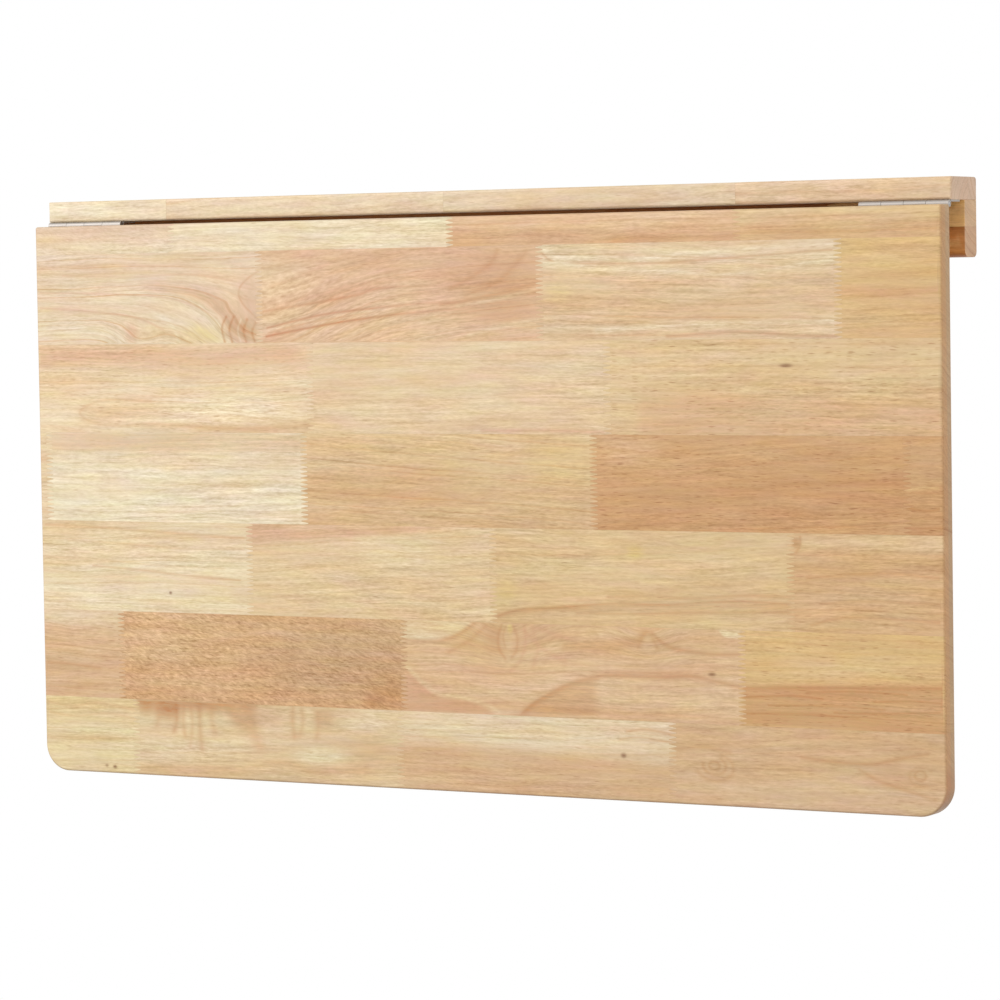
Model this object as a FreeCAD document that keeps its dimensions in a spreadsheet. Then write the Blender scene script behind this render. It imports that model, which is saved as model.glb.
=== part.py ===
import FreeCAD, Part
import math
import os
import Sketcher
from FreeCAD import Vector

# Wall mounted drop leaf table in finger-jointed rubberwood.
# Frame: X to the right, the front faces -Y, Z up, millimetres. The wall is the plane y = 0.
# Origin: on the wall plane, at the middle of the cleat's row of wall-screw holes.
# A shelf strip sits on a wall cleat; the leaf hangs from the strip's front edge on two butt hinges.
# Two steel knee braces fold flat between the leaf and the wall, and stand straight when the leaf is up.

doc = FreeCAD.newDocument("drop_leaf_table")

SIZES = [
    ("board_width", 900, "leaf, strip and cleat, left to right"),
    ("leaf_depth", 500, "leaf, hinge edge to front edge"),
    ("leaf_thick", 19, "leaf board"),
    ("leaf_corner", 24.5, "radius of the two front corners"),
    ("edge_ease", 2.2, "eased long edges"),
    ("strip_depth", 52, "fixed strip, wall to front"),
    ("strip_thick", 19, "fixed strip"),
    ("strip_round", 4, "fixed strip's rounded top edge at the wall"),
    ("cleat_thick", 24.5, "cleat, wall to front"),
    ("cleat_high", 47, "cleat height"),
    ("cleat_round", 6, "cleat's rounded bottom edges"),
    ("barrel_reach", 3, "hinge axis to board faces"),
    ("barrel_radius", 2.95, "hinge knuckle outside radius"),
    ("hinge_pin_radius", 1.5, "hinge pin"),
    ("hinge_sheet", 1.5, "hinge plate thickness"),
    ("hinge_long", 80, "hinge length"),
    ("hinge_inset", 1.5, "hinge end to board end"),
    ("hinge_wide", 23, "axis to the plate's far edge"),
    ("knuckle_gap", 0.3, "gap between knuckles"),
    ("axis_to_edge", 0.9, "hinge axis to the leaf's hinge edge"),
    ("brace_at", 335, "brace plane from the middle"),
    ("batten_wide", 60, "wall batten width"),
    ("batten_foot", 197, "wall batten's foot below the origin"),
    ("pivot_back", 12, "brace pivots behind the hinge axis plane"),
    ("wall_pivot_drop", 170, "hinge axis down to the wall pivot"),
    ("leaf_pivot_drop", 240, "hinge axis down to the leaf pivot, leaf hanging"),
    ("over_centre", 2, "knee past the straight line when the leaf is up"),
    ("link_thick", 3, "flat steel link"),
    ("link_half", 8, "half the link's width"),
    ("ear_thick", 2.5, "bracket sheet"),
    ("pivot_radius", 3, "brace pivots"),
    ("wall_hole_radius", 2.75, "holes for 5 mm wall screws"),
    ("dowel_radius", 4, "wood dowels"),
    ("dowel_long", 36, "wood dowels"),
]

sheet = doc.addObject("Spreadsheet::Sheet", "Sizes")
for row, (alias, value, note) in enumerate(SIZES, 1):
    sheet.set("A%d" % row, alias)
    sheet.set("B%d" % row, str(value))
    sheet.set("C%d" % row, note)
    sheet.setAlias("B%d" % row, alias)
doc.recompute()


class Q:
    """A size: the expression that is bound to a property, and its value now."""

    def __init__(self, e, v):
        self.e, self.v = e, float(v)

    @staticmethod
    def of(x):
        return x if isinstance(x, Q) else Q("(%r)" % float(x), x)

    def __add__(self, o):
        o = Q.of(o)
        return Q("(%s + %s)" % (self.e, o.e), self.v + o.v)

    __radd__ = __add__

    def __sub__(self, o):
        o = Q.of(o)
        return Q("(%s - %s)" % (self.e, o.e), self.v - o.v)

    def __rsub__(self, o):
        return Q.of(o) - self

    def __mul__(self, o):
        o = Q.of(o)
        return Q("(%s * %s)" % (self.e, o.e), self.v * o.v)

    __rmul__ = __mul__

    def __truediv__(self, o):
        o = Q.of(o)
        return Q("(%s / %s)" % (self.e, o.e), self.v / o.v)

    def __rtruediv__(self, o):
        return Q.of(o) / self

    def __neg__(self):
        return Q("(-1 * %s)" % self.e, -self.v)


def root(q):
    return Q("sqrt(%s)" % q.e, math.sqrt(q.v))


S = {alias: Q("Sizes." + alias, float(sheet.get(alias))) for alias, _, _ in SIZES}

# --- derived sizes ---------------------------------------------------------------
half_w = S["board_width"] / 2
cleat_top = S["cleat_high"] / 2
axis_y = -S["strip_depth"]
axis_z = cleat_top - S["barrel_reach"]
leaf_back = axis_y - S["barrel_reach"]
leaf_front = leaf_back - S["leaf_thick"]
leaf_top = axis_z - S["axis_to_edge"]
leaf_foot = leaf_top - S["leaf_depth"]
pivot_y = axis_y + S["pivot_back"]
wall_pivot_z = axis_z - S["wall_pivot_drop"]
leaf_pivot_z = axis_z - S["leaf_pivot_drop"]
# knee brace: the two links lie on each other when the leaf hangs, and are in line,
# a little past straight, when it is up
span_y = S["leaf_pivot_drop"] + S["pivot_back"]
span_z = S["wall_pivot_drop"] - S["pivot_back"]
span = root(span_y * span_y + span_z * span_z)
low_0 = (span + S["wall_pivot_drop"] - S["leaf_pivot_drop"]) / 2
up_0 = (span - S["wall_pivot_drop"] + S["leaf_pivot_drop"]) / 2
reach = span + S["over_centre"] * S["over_centre"] / 2 * (1 / low_0 + 1 / up_0)
lower_long = (reach + S["wall_pivot_drop"] - S["leaf_pivot_drop"]) / 2
upper_long = (reach - S["wall_pivot_drop"] + S["leaf_pivot_drop"]) / 2
knee_z = wall_pivot_z + lower_long

PLANES = {"XY": "XY_Plane", "XZ": "XZ_Plane", "YZ": "YZ_Plane"}


def bind(obj, prop, q):
    obj.setExpression(prop, Q.of(q).e)


def place(obj, at):
    q = [Q.of(a) for a in at]
    obj.Placement = FreeCAD.Placement(
        Vector(*[a.v for a in q]), FreeCAD.Rotation()
    )
    for axis, a in zip("xyz", q):
        bind(obj, "Placement.Base." + axis, a)


def new_body(label, at=(0, 0, 0)):
    body = doc.addObject("PartDesign::Body", label)
    body.Label = label
    place(body, at)
    return body


def new_sketch(body, plane, offset=0):
    """A sketch on one of the body's own origin planes. XZ looks along +Y, so its offset is along -Y."""
    sk = body.newObject("Sketcher::SketchObject", body.Label + "_sketch")
    base = [f for f in body.Origin.OriginFeatures if f.Role == PLANES[plane]][0]
    sk.AttachmentSupport = [(base, "")]
    sk.MapMode = "FlatFace"
    off = Q.of(offset)
    sk.AttachmentOffset = FreeCAD.Placement(Vector(0, 0, off.v), FreeCAD.Rotation())
    bind(sk, "AttachmentOffset.Base.z", off)
    return sk


def datum(sk, *args, q):
    n = sk.addConstraint(Sketcher.Constraint(*args, Q.of(q).v))
    sk.setExpression("Constraints[%d]" % n, Q.of(q).e)


def polygon(sk, points):
    pts = [(Q.of(x), Q.of(y)) for x, y in points]
    n, ids = len(pts), []
    for i in range(n):
        (ax, ay), (bx, by) = pts[i], pts[(i + 1) % n]
        ids.append(
            sk.addGeometry(
                Part.LineSegment(Vector(ax.v, ay.v, 0), Vector(bx.v, by.v, 0)), False
            )
        )
    for i in range(n):
        sk.addConstraint(
            Sketcher.Constraint("Coincident", ids[i], 2, ids[(i + 1) % n], 1)
        )
    for i in range(n):
        datum(sk, "DistanceX", ids[i], 1, q=pts[i][0])
        datum(sk, "DistanceY", ids[i], 1, q=pts[i][1])


def rectangle(sk, x0, x1, y0, y1):
    polygon(sk, [(x0, y0), (x1, y0), (x1, y1), (x0, y1)])


def circle(sk, x, y, r):
    x, y, r = Q.of(x), Q.of(y), Q.of(r)
    g = sk.addGeometry(Part.Circle(Vector(x.v, y.v, 0), Vector(0, 0, 1), r.v), False)
    datum(sk, "DistanceX", g, 3, q=x)
    datum(sk, "DistanceY", g, 3, q=y)
    datum(sk, "Radius", g, q=r)


def bar_outline(sk, y0, y1, r):
    """A bar with round ends, upright in the sketch, between two centres at x = 0."""
    y0, y1, r = Q.of(y0), Q.of(y1), Q.of(r)
    low = sk.addGeometry(
        Part.ArcOfCircle(
            Part.Circle(Vector(0, y0.v, 0), Vector(0, 0, 1), r.v), math.pi, 2 * math.pi
        ),
        False,
    )
    high = sk.addGeometry(
        Part.ArcOfCircle(
            Part.Circle(Vector(0, y1.v, 0), Vector(0, 0, 1), r.v), 0, math.pi
        ),
        False,
    )
    right = sk.addGeometry(
        Part.LineSegment(Vector(r.v, y0.v, 0), Vector(r.v, y1.v, 0)), False
    )
    left = sk.addGeometry(
        Part.LineSegment(Vector(-r.v, y1.v, 0), Vector(-r.v, y0.v, 0)), False
    )
    for a, pa, b, pb in (
        (low, 2, right, 1),
        (right, 2, high, 1),
        (high, 2, left, 1),
        (left, 2, low, 1),
    ):
        sk.addConstraint(Sketcher.Constraint("Tangent", a, pa, b, pb))
    for g, y in ((low, y0), (high, y1)):
        datum(sk, "DistanceX", g, 3, q=0)
        datum(sk, "DistanceY", g, 3, q=y)
    datum(sk, "Radius", low, q=r)


def ear_outline(sk, base_x, half_base, r):
    """A bracket's ear: a straight foot at base_x that narrows to a round end about the pivot at 0, 0."""
    b, hb, r = Q.of(base_x), Q.of(half_base), Q.of(r)
    # tangent from (b, hb) to the circle
    dist = math.hypot(b.v, hb.v)
    alpha = math.atan2(hb.v, b.v)
    beta = math.acos(r.v / dist)
    t1 = alpha + (beta if b.v > 0 else -beta)
    p1 = Vector(r.v * math.cos(t1), r.v * math.sin(t1), 0)
    p2 = Vector(p1.x, -p1.y, 0)
    top = Vector(b.v, hb.v, 0)
    low = Vector(b.v, -hb.v, 0)
    a1 = math.atan2(p1.y, p1.x) % (2 * math.pi)
    a2 = math.atan2(p2.y, p2.x) % (2 * math.pi)
    circ = Part.Circle(Vector(0, 0, 0), Vector(0, 0, 1), r.v)
    if b.v > 0:
        arc = sk.addGeometry(Part.ArcOfCircle(circ, a1, a2), False)
        ends = (1, 2)  # start at p1, end at p2
    else:
        arc = sk.addGeometry(Part.ArcOfCircle(circ, a2, a1 + 2 * math.pi), False)
        ends = (2, 1)
    foot = sk.addGeometry(Part.LineSegment(low, top), False)
    upper = sk.addGeometry(Part.LineSegment(top, p1), False)
    lower = sk.addGeometry(Part.LineSegment(p2, low), False)
    sk.addConstraint(Sketcher.Constraint("Coincident", foot, 2, upper, 1))
    sk.addConstraint(Sketcher.Constraint("Tangent", upper, 2, arc, ends[0]))
    sk.addConstraint(Sketcher.Constraint("Tangent", lower, 1, arc, ends[1]))
    sk.addConstraint(Sketcher.Constraint("Coincident", lower, 2, foot, 1))
    datum(sk, "DistanceX", foot, 1, q=b)
    datum(sk, "DistanceY", foot, 1, q=-hb)
    datum(sk, "DistanceX", foot, 2, q=b)
    datum(sk, "DistanceY", foot, 2, q=hb)
    datum(sk, "DistanceX", arc, 3, q=0)
    datum(sk, "DistanceY", arc, 3, q=0)
    datum(sk, "Radius", arc, q=r)


def pad(body, sk, length, back=False):
    f = body.newObject("PartDesign::Pad", body.Label + "_pad")
    f.Profile = sk
    f.Length = Q.of(length).v
    bind(f, "Length", length)
    f.Reversed = back
    body.Tip = f
    doc.recompute()
    return f


def pocket(body, sk, length, back=False):
    before = body.Shape.Volume
    f = body.newObject("PartDesign::Pocket", body.Label + "_pocket")
    f.Profile = sk
    f.Length = Q.of(length).v
    bind(f, "Length", length)
    f.Reversed = back
    body.Tip = f
    doc.recompute()
    if not body.Shape.Volume < before - 0.05:
        raise SystemExit("%s: a pocket cuts nothing" % body.Label)
    return f


def cone_cut(body, at, axis, r_wide, r_narrow, depth):
    """A countersink whose wide end is at a face, going in along axis."""
    before = body.Shape.Volume
    f = body.newObject("PartDesign::SubtractiveCone", body.Label + "_sink")
    rot = FreeCAD.Rotation(Vector(0, 0, 1), Vector(*axis))
    q = [Q.of(a) for a in at]
    f.Radius1, f.Radius2, f.Height = Q.of(r_wide).v, Q.of(r_narrow).v, Q.of(depth).v
    bind(f, "Radius1", r_wide)
    bind(f, "Radius2", r_narrow)
    bind(f, "Height", depth)
    f.Placement = FreeCAD.Placement(Vector(*[a.v for a in q]), rot)
    for axis_name, a in zip("xyz", q):
        bind(f, "Placement.Base." + axis_name, a)
    body.Tip = f
    doc.recompute()
    if not body.Shape.Volume < before - 0.05:
        raise SystemExit("%s: a countersink cuts nothing" % body.Label)
    return f


def ease(body, radius, want):
    """Round the edges of the tip that want(edge) picks."""
    tip = body.Tip
    names = ["Edge%d" % (i + 1) for i, e in enumerate(tip.Shape.Edges) if want(e)]
    if not names:
        raise SystemExit("%s: no edge to round" % body.Label)
    f = body.newObject("PartDesign::Fillet", body.Label + "_round")
    f.Base = (tip, names)
    f.Radius = Q.of(radius).v
    bind(f, "Radius", radius)
    body.Tip = f
    doc.recompute()
    if "Invalid" in f.State or f.Shape.isNull():
        raise SystemExit("%s: rounding failed" % body.Label)
    return f


def along(e, axis, near=()):
    """An edge parallel to an axis whose middle has the given coordinates."""
    d = e.valueAt(e.LastParameter) - e.valueAt(e.FirstParameter)
    if d.Length < 1e-6 or e.Curve.TypeId != "Part::GeomLine":
        return False
    if abs(abs(getattr(d, axis)) - d.Length) > 1e-6:
        return False
    m = e.valueAt((e.FirstParameter + e.LastParameter) / 2)
    return all(abs(getattr(m, k) - Q.of(v).v) < 0.01 for k, v in near)


def block(label, x0, x1, y0, y1, z0, z1):
    """A board, drawn on the XZ plane and padded towards the front."""
    body = new_body(label)
    sk = new_sketch(body, "XZ", -Q.of(y1))
    rectangle(sk, x0, x1, z0, z1)
    pad(body, sk, Q.of(y1) - y0)
    return body


def bores_y(body, y, spots, r, depth, back=False):
    """Round holes along Y that start at the plane y and go towards the wall, or to the front if back is set."""
    sk = new_sketch(body, "XZ", -Q.of(y))
    for x, z in spots:
        circle(sk, x, z, r)
    pocket(body, sk, depth, back)


def bores_z(body, z, spots, r, depth, back=False):
    """Round holes along Z that start at the plane z and go down, or up if back is set."""
    sk = new_sketch(body, "XY", z)
    for x, y in spots:
        circle(sk, x, y, r)
    pocket(body, sk, depth, back)


# --- fastener patterns -----------------------------------------------------------
hinge_mid = half_w - S["hinge_inset"] - S["hinge_long"] / 2
HINGE_SCREW = [(-28.0, 11.0), (0.0, 16.5), (28.0, 11.0)]  # along the hinge, from the axis
BRACKET_SCREW = [-16.5, 0.0, 16.5]
wall_flange_u, leaf_flange_u = -19.0, 17.6
screw_at = {
    side: [(side * (hinge_mid + a), b) for a, b in HINGE_SCREW] for side in (-1, 1)
}
cleat_holes = [(-400, 0), (-200, 0), (200, 0), (400, 0)]
batten_holes = (-60.0, -185.0)
batten_hole_u = 15.0  # beside the folded links, so a screwdriver reaches them
strip_screw_x = (-300.0, 0.0, 300.0)
strip_dowel_x = (-420.0, -150.0, 150.0, 420.0)
mid_cleat = -S["cleat_thick"] / 2
slack = 0.02  # round the shanks

# --- boards ----------------------------------------------------------------------
# The leaf hangs in front of the strip, its back face on the hinge barrels.
leaf = block("drop_leaf", -half_w, half_w, leaf_front, leaf_back, leaf_foot, leaf_top)
ease(
    leaf,
    S["leaf_corner"],
    lambda e: along(e, "y", (("z", leaf_foot),)),
)
ease(leaf, 2.0, lambda e: along(e, "y", (("z", leaf_top),)))
ease(
    leaf,
    S["edge_ease"],
    lambda e: abs(e.BoundBox.YMin - e.BoundBox.YMax) < 1e-6,
)
bores_y(
    leaf,
    leaf_back,
    [(x, axis_z - b) for side in (-1, 1) for x, b in screw_at[side]],
    1.6 + slack,
    12.6,
    True,
)
bores_y(
    leaf,
    leaf_back,
    [
        (side * (S["brace_at"] + leaf_flange_u), leaf_pivot_z + dz)
        for side in (-1, 1)
        for dz in BRACKET_SCREW
    ],
    2.0 + slack,
    13.6,
    True,
)

strip = block(
    "top_strip",
    -half_w,
    half_w,
    -S["strip_depth"],
    0,
    cleat_top,
    cleat_top + S["strip_thick"],
)
ease(
    strip,
    S["edge_ease"],
    lambda e: along(e, "x", (("y", -S["strip_depth"]),))
    or along(e, "z", (("y", -S["strip_depth"]),)),
)
ease(
    strip,
    S["strip_round"],
    lambda e: along(e, "x", (("z", cleat_top + S["strip_thick"]), ("y", 0))),
)
bores_z(
    strip,
    cleat_top,
    [(x, axis_y + b) for side in (-1, 1) for x, b in screw_at[side]],
    1.6 + slack,
    12.6,
    True,
)
bores_z(
    strip,
    cleat_top,
    [(x, mid_cleat) for x in strip_dowel_x],
    S["dowel_radius"] + slack,
    S["dowel_long"] * 0.4,
    True,
)
bores_z(
    strip, cleat_top, [(x, mid_cleat) for x in strip_screw_x], 2.25 + slack, 15.1, True
)

cleat = block(
    "wall_cleat", -half_w, half_w, -S["cleat_thick"], 0, -cleat_top, cleat_top
)
ease(cleat, S["cleat_round"], lambda e: along(e, "x", (("z", -cleat_top),)))
bores_z(
    cleat,
    cleat_top,
    [(x, mid_cleat) for x in strip_dowel_x],
    S["dowel_radius"] + slack,
    S["dowel_long"] * 0.6 + 0.1,
)
bores_z(
    cleat,
    cleat_top,
    [(x, mid_cleat) for x in strip_screw_x],
    2.25 + slack,
    S["cleat_high"],
)
bores_z(cleat, -cleat_top, [(x, mid_cleat) for x in strip_screw_x], 5.2, 17.0, True)
for x in strip_screw_x:
    cone_cut(cleat, (x, mid_cleat, -cleat_top + 17.0), (0, 0, 1), 4.4 + slack, 2.25 + slack, 2.4)
bores_z(
    cleat,
    -cleat_top,
    [(side * (S["brace_at"] + d), mid_cleat) for side in (-1, 1) for d in (-18, 18)],
    S["dowel_radius"] + slack,
    18.1,
    True,
)
# four holes on one line for the wall screws, countersunk in front
bores_y(cleat, 0, cleat_holes, S["wall_hole_radius"], S["cleat_thick"], True)
for x, z in cleat_holes:
    cone_cut(
        cleat,
        (x, -S["cleat_thick"], z),
        (0, 1, 0),
        S["wall_hole_radius"] * 2,
        S["wall_hole_radius"],
        S["wall_hole_radius"],
    )

for side, tag in ((-1, "left"), (1, "right")):
    mid = side * S["brace_at"]
    hw = S["batten_wide"] / 2
    batten = block(
        "wall_batten_" + tag,
        mid - hw,
        mid + hw,
        -S["cleat_thick"],
        0,
        -S["batten_foot"],
        -cleat_top,
    )
    ease(
        batten,
        S["edge_ease"],
        lambda e: along(e, "z", (("y", -S["cleat_thick"]),))
        or along(e, "x", (("z", -S["batten_foot"]), ("y", -S["cleat_thick"]))),
    )
    bores_z(
        batten,
        -cleat_top,
        [(mid + d, mid_cleat) for d in (-18, 18)],
        S["dowel_radius"] + slack,
        18.1,
    )
    bores_y(
        batten,
        0,
        [(mid + side * batten_hole_u, z) for z in batten_holes],
        S["wall_hole_radius"],
        S["cleat_thick"],
        True,
    )
    for z in batten_holes:
        cone_cut(
            batten,
            (mid + side * batten_hole_u, -S["cleat_thick"], z),
            (0, 1, 0),
            S["wall_hole_radius"] * 2,
            S["wall_hole_radius"],
            S["wall_hole_radius"],
        )
    bores_y(
        batten,
        -S["cleat_thick"],
        [
            (side * (S["brace_at"] + wall_flange_u), wall_pivot_z + dz)
            for dz in BRACKET_SCREW
        ],
        2.0 + slack,
        13.6,
    )

# --- butt hinges -----------------------------------------------------------------
# Four knuckles each: the strip plate has the first and third from the outside, the leaf plate the others.
knuckle = S["hinge_long"] / 4
for side, tag in ((-1, "left"), (1, "right")):
    for part, own in (("strip", (0, 2)), ("leaf", (1, 3))):
        name = "hinge_%s_plate_%s" % (part, tag)
        # drawn about the axis: x along the hinge, the plate reaches away from the axis
        body = new_body(name, (side * hinge_mid, axis_y, axis_z))
        half = S["hinge_long"] / 2
        near = S["barrel_radius"] + 0.35
        spans = []
        for k in own:
            a = -half + knuckle * k + (0 if k == 0 else S["knuckle_gap"] / 2)
            b = -half + knuckle * (k + 1) - (0 if k == 3 else S["knuckle_gap"] / 2)
            spans.append((a, b))
        if part == "strip":
            # lies under the strip: z from reach - sheet to reach, y from the barrel to the far edge
            sk = new_sketch(body, "XY", S["barrel_reach"] - S["hinge_sheet"])
            rectangle(sk, -half, half, near, S["hinge_wide"])
            pad(body, sk, S["hinge_sheet"])
            sk = new_sketch(body, "XY", S["barrel_reach"] - S["hinge_sheet"])
            for a, b in spans:
                rectangle(sk, a, b, 0, near + 0.5)
            pad(body, sk, S["hinge_sheet"] - 0.05)
        else:
            # lies on the leaf's back: y from -reach to -reach + sheet, z down to the far edge
            sk = new_sketch(body, "XZ", S["barrel_reach"] - S["hinge_sheet"])
            rectangle(sk, -half, half, -S["hinge_wide"], -near)
            pad(body, sk, S["hinge_sheet"])
            sk = new_sketch(body, "XZ", S["barrel_reach"] - S["hinge_sheet"])
            for a, b in spans:
                rectangle(sk, a, b, -near - 0.5, 0)
            pad(body, sk, S["hinge_sheet"] - 0.05)
        ease(
            body,
            2.5,
            (lambda e: along(e, "z", (("y", S["hinge_wide"]),)))
            if part == "strip"
            else (lambda e: along(e, "y", (("z", -S["hinge_wide"]),))),
        )
        for a, b in spans:
            sk = new_sketch(body, "YZ", a)
            circle(sk, 0, 0, S["barrel_radius"])
            pad(body, sk, b - a)
        sk = new_sketch(body, "YZ", -half - 1)
        circle(sk, 0, 0, S["hinge_pin_radius"] + (0.01 if part == "strip" else 0.06))
        pocket(body, sk, S["hinge_long"] + 2, True)
        if part == "strip":
            sk = new_sketch(body, "XY", S["barrel_reach"])
            for a, b in HINGE_SCREW:
                circle(sk, side * a, b, 1.6 + slack)
            pocket(body, sk, S["hinge_sheet"])
            for a, b in HINGE_SCREW:
                cone_cut(
                    body,
                    (side * a, b, S["barrel_reach"] - S["hinge_sheet"]),
                    (0, 0, 1),
                    3.22,
                    1.6 + slack,
                    1.4,
                )
        else:
            sk = new_sketch(body, "XZ", S["barrel_reach"])
            for a, b in HINGE_SCREW:
                circle(sk, side * a, -b, 1.6 + slack)
            pocket(body, sk, S["hinge_sheet"])
            for a, b in HINGE_SCREW:
                cone_cut(
                    body,
                    (side * a, -S["barrel_reach"] + S["hinge_sheet"], -b),
                    (0, -1, 0),
                    3.22,
                    1.6 + slack,
                    1.4,
                )

    pin = doc.addObject("Part::Cylinder", "hinge_pin_" + tag)
    pin.Label = "hinge_pin_" + tag
    bind(pin, "Radius", S["hinge_pin_radius"])
    bind(pin, "Height", S["hinge_long"] - 0.6)
    pin.Placement.Rotation = FreeCAD.Rotation(Vector(0, 1, 0), 90)
    at = (side * hinge_mid - S["hinge_long"] / 2 + 0.3, axis_y, axis_z)
    pin.Placement.Base = Vector(*[Q.of(a).v for a in at])
    for k, a in zip("xyz", at):
        bind(pin, "Placement.Base." + k, a)

# --- knee braces -----------------------------------------------------------------
# Layers outwards from the brace plane, in mm; the same on both sides, mirrored.
EAR_W, LINK_L, LINK_U, EAR_L = (-8.0, -5.5), (-4.7, -1.7), (0.3, 3.3), (4.1, 6.6)


def layer(body, side, span, draw, length=None):
    """Pad what draw(sketch) draws on the YZ plane through a layer, mirrored on the left."""
    a, b = span
    sk = new_sketch(body, "YZ", side * a)
    draw(sk)
    return pad(body, sk, Q.of(b) - a, side < 0)


def pivot_hole(body, side, span, z, r):
    a, b = span
    sk = new_sketch(body, "YZ", side * a)
    circle(sk, 0, z, r)
    pocket(body, sk, Q.of(b) - a, side > 0)


brace_slope = math.atan2(span_z.v, span_y.v)
# direction of the lower link with the leaf up: past the straight line by the over-centre angle
lower_up = brace_slope - math.asin(S["over_centre"].v / lower_long.v)
# stop pin: under the link's lower edge, 4.5 mm out from the pivot (towards -Y)
stop_r = 1.5
off = S["link_half"].v + stop_r + 0.08
stop_out = 4.5 * math.cos(lower_up) + off * math.sin(lower_up)
stop_up = 4.5 * math.sin(lower_up) - off * math.cos(lower_up)

for side, tag in ((-1, "left"), (1, "right")):
    bx = side * S["brace_at"]
    foot = S["strip_depth"] - S["pivot_back"] - S["cleat_thick"]  # pivot to batten face

    # wall bracket: a flange on the batten and an ear for the lower pivot
    b = new_body("wall_bracket_" + tag, (bx, pivot_y, wall_pivot_z))
    layer(b, side, EAR_W, lambda sk: ear_outline(sk, foot, 24, 13))
    sk = new_sketch(b, "XZ", -foot)
    x0, x1 = side * Q.of(-29.0), side * Q.of(-5.5)
    rectangle(sk, x0, x1, -24, 24)
    pad(b, sk, S["ear_thick"])
    ease(b, 4.0, lambda e: along(e, "y", (("x", side * -29.0),)))
    pivot_hole(b, side, EAR_W, 0, S["pivot_radius"] + 0.01)
    sk = new_sketch(b, "XZ", -foot)
    for dz in BRACKET_SCREW:
        circle(sk, side * wall_flange_u, dz, 2.0 + slack)
    pocket(b, sk, S["ear_thick"], True)
    for dz in BRACKET_SCREW:
        cone_cut(
            b,
            (side * wall_flange_u, foot - S["ear_thick"], dz),
            (0, 1, 0),
            3.92,
            2.0 + slack,
            2.0,
        )
    sk = new_sketch(b, "YZ", side * EAR_W[0])
    circle(sk, -stop_out, stop_up, stop_r + 0.01)
    pocket(b, sk, 2.5, side > 0)

    # leaf bracket: the same on the leaf's back, facing the wall
    lift = S["pivot_back"] + S["barrel_reach"]  # pivot to the leaf's back face
    b = new_body("leaf_bracket_" + tag, (bx, pivot_y, leaf_pivot_z))
    layer(b, side, EAR_L, lambda sk: ear_outline(sk, -lift, 24, 9.5))
    sk = new_sketch(b, "XZ", lift)
    x0, x1 = side * Q.of(4.1), side * Q.of(28.0)
    rectangle(sk, x0, x1, -24, 24)
    pad(b, sk, S["ear_thick"], True)
    ease(b, 4.0, lambda e: along(e, "y", (("x", side * 28.0),)))
    pivot_hole(b, side, EAR_L, 0, S["pivot_radius"] + 0.01)
    sk = new_sketch(b, "XZ", lift)
    for dz in BRACKET_SCREW:
        circle(sk, side * leaf_flange_u, dz, 2.0 + slack)
    pocket(b, sk, S["ear_thick"])
    for dz in BRACKET_SCREW:
        cone_cut(
            b,
            (side * leaf_flange_u, -lift + S["ear_thick"], dz),
            (0, -1, 0),
            3.92,
            2.0 + slack,
            2.0,
        )

    # links: flat bars, pivot at the local origin, upright while the leaf hangs
    b = new_body("lower_link_" + tag, (bx, pivot_y, wall_pivot_z))
    layer(b, side, LINK_L, lambda sk: bar_outline(sk, 0, lower_long, S["link_half"]))
    pivot_hole(b, side, LINK_L, 0, S["pivot_radius"] + 0.07)
    pivot_hole(b, side, LINK_L, lower_long, S["pivot_radius"] + 0.01)
    b = new_body("upper_link_" + tag, (bx, pivot_y, leaf_pivot_z))
    layer(b, side, LINK_U, lambda sk: bar_outline(sk, 0, upper_long, S["link_half"]))
    pivot_hole(b, side, LINK_U, 0, S["pivot_radius"] + 0.07)
    pivot_hole(b, side, LINK_U, upper_long, S["pivot_radius"] + 0.01)


def rivet(label, side, at, steps):
    """A turned pin along X: steps are (from, to, radius, end to round or None) in layer coordinates."""
    made = []
    for i, (a, b, r, dome) in enumerate(steps):
        c = doc.addObject("Part::Cylinder", "%s_step%d" % (label, i))
        lo = min(side * a, side * b)
        bind(c, "Radius", r)
        bind(c, "Height", abs(b - a))
        c.Placement.Rotation = FreeCAD.Rotation(Vector(0, 1, 0), 90)
        q = (Q.of(at[0]) + lo, Q.of(at[1]), Q.of(at[2]))
        c.Placement.Base = Vector(*[v.v for v in q])
        for k, v in zip("xyz", q):
            bind(c, "Placement.Base." + k, v)
        doc.recompute()
        if dome is not None:
            x_end = Q.of(at[0]).v + side * dome
            n = [
                i + 1
                for i, e in enumerate(c.Shape.Edges)
                if e.Curve.TypeId == "Part::GeomCircle"
                and abs(e.Curve.Center.x - x_end) < 0.01
            ]
            f = doc.addObject("Part::Fillet", "%s_dome%d" % (label, i))
            f.Base = c
            d = abs(b - a) * 0.82
            f.Edges = [(k, d, d) for k in n]
            doc.recompute()
            c = f
        made.append(c)
    if len(made) == 1:
        made[0].Label = label
        return made[0]
    f = doc.addObject("Part::MultiFuse", label)
    f.Label = label
    f.Shapes = made
    f.Refine = True
    doc.recompute()
    return f


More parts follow.
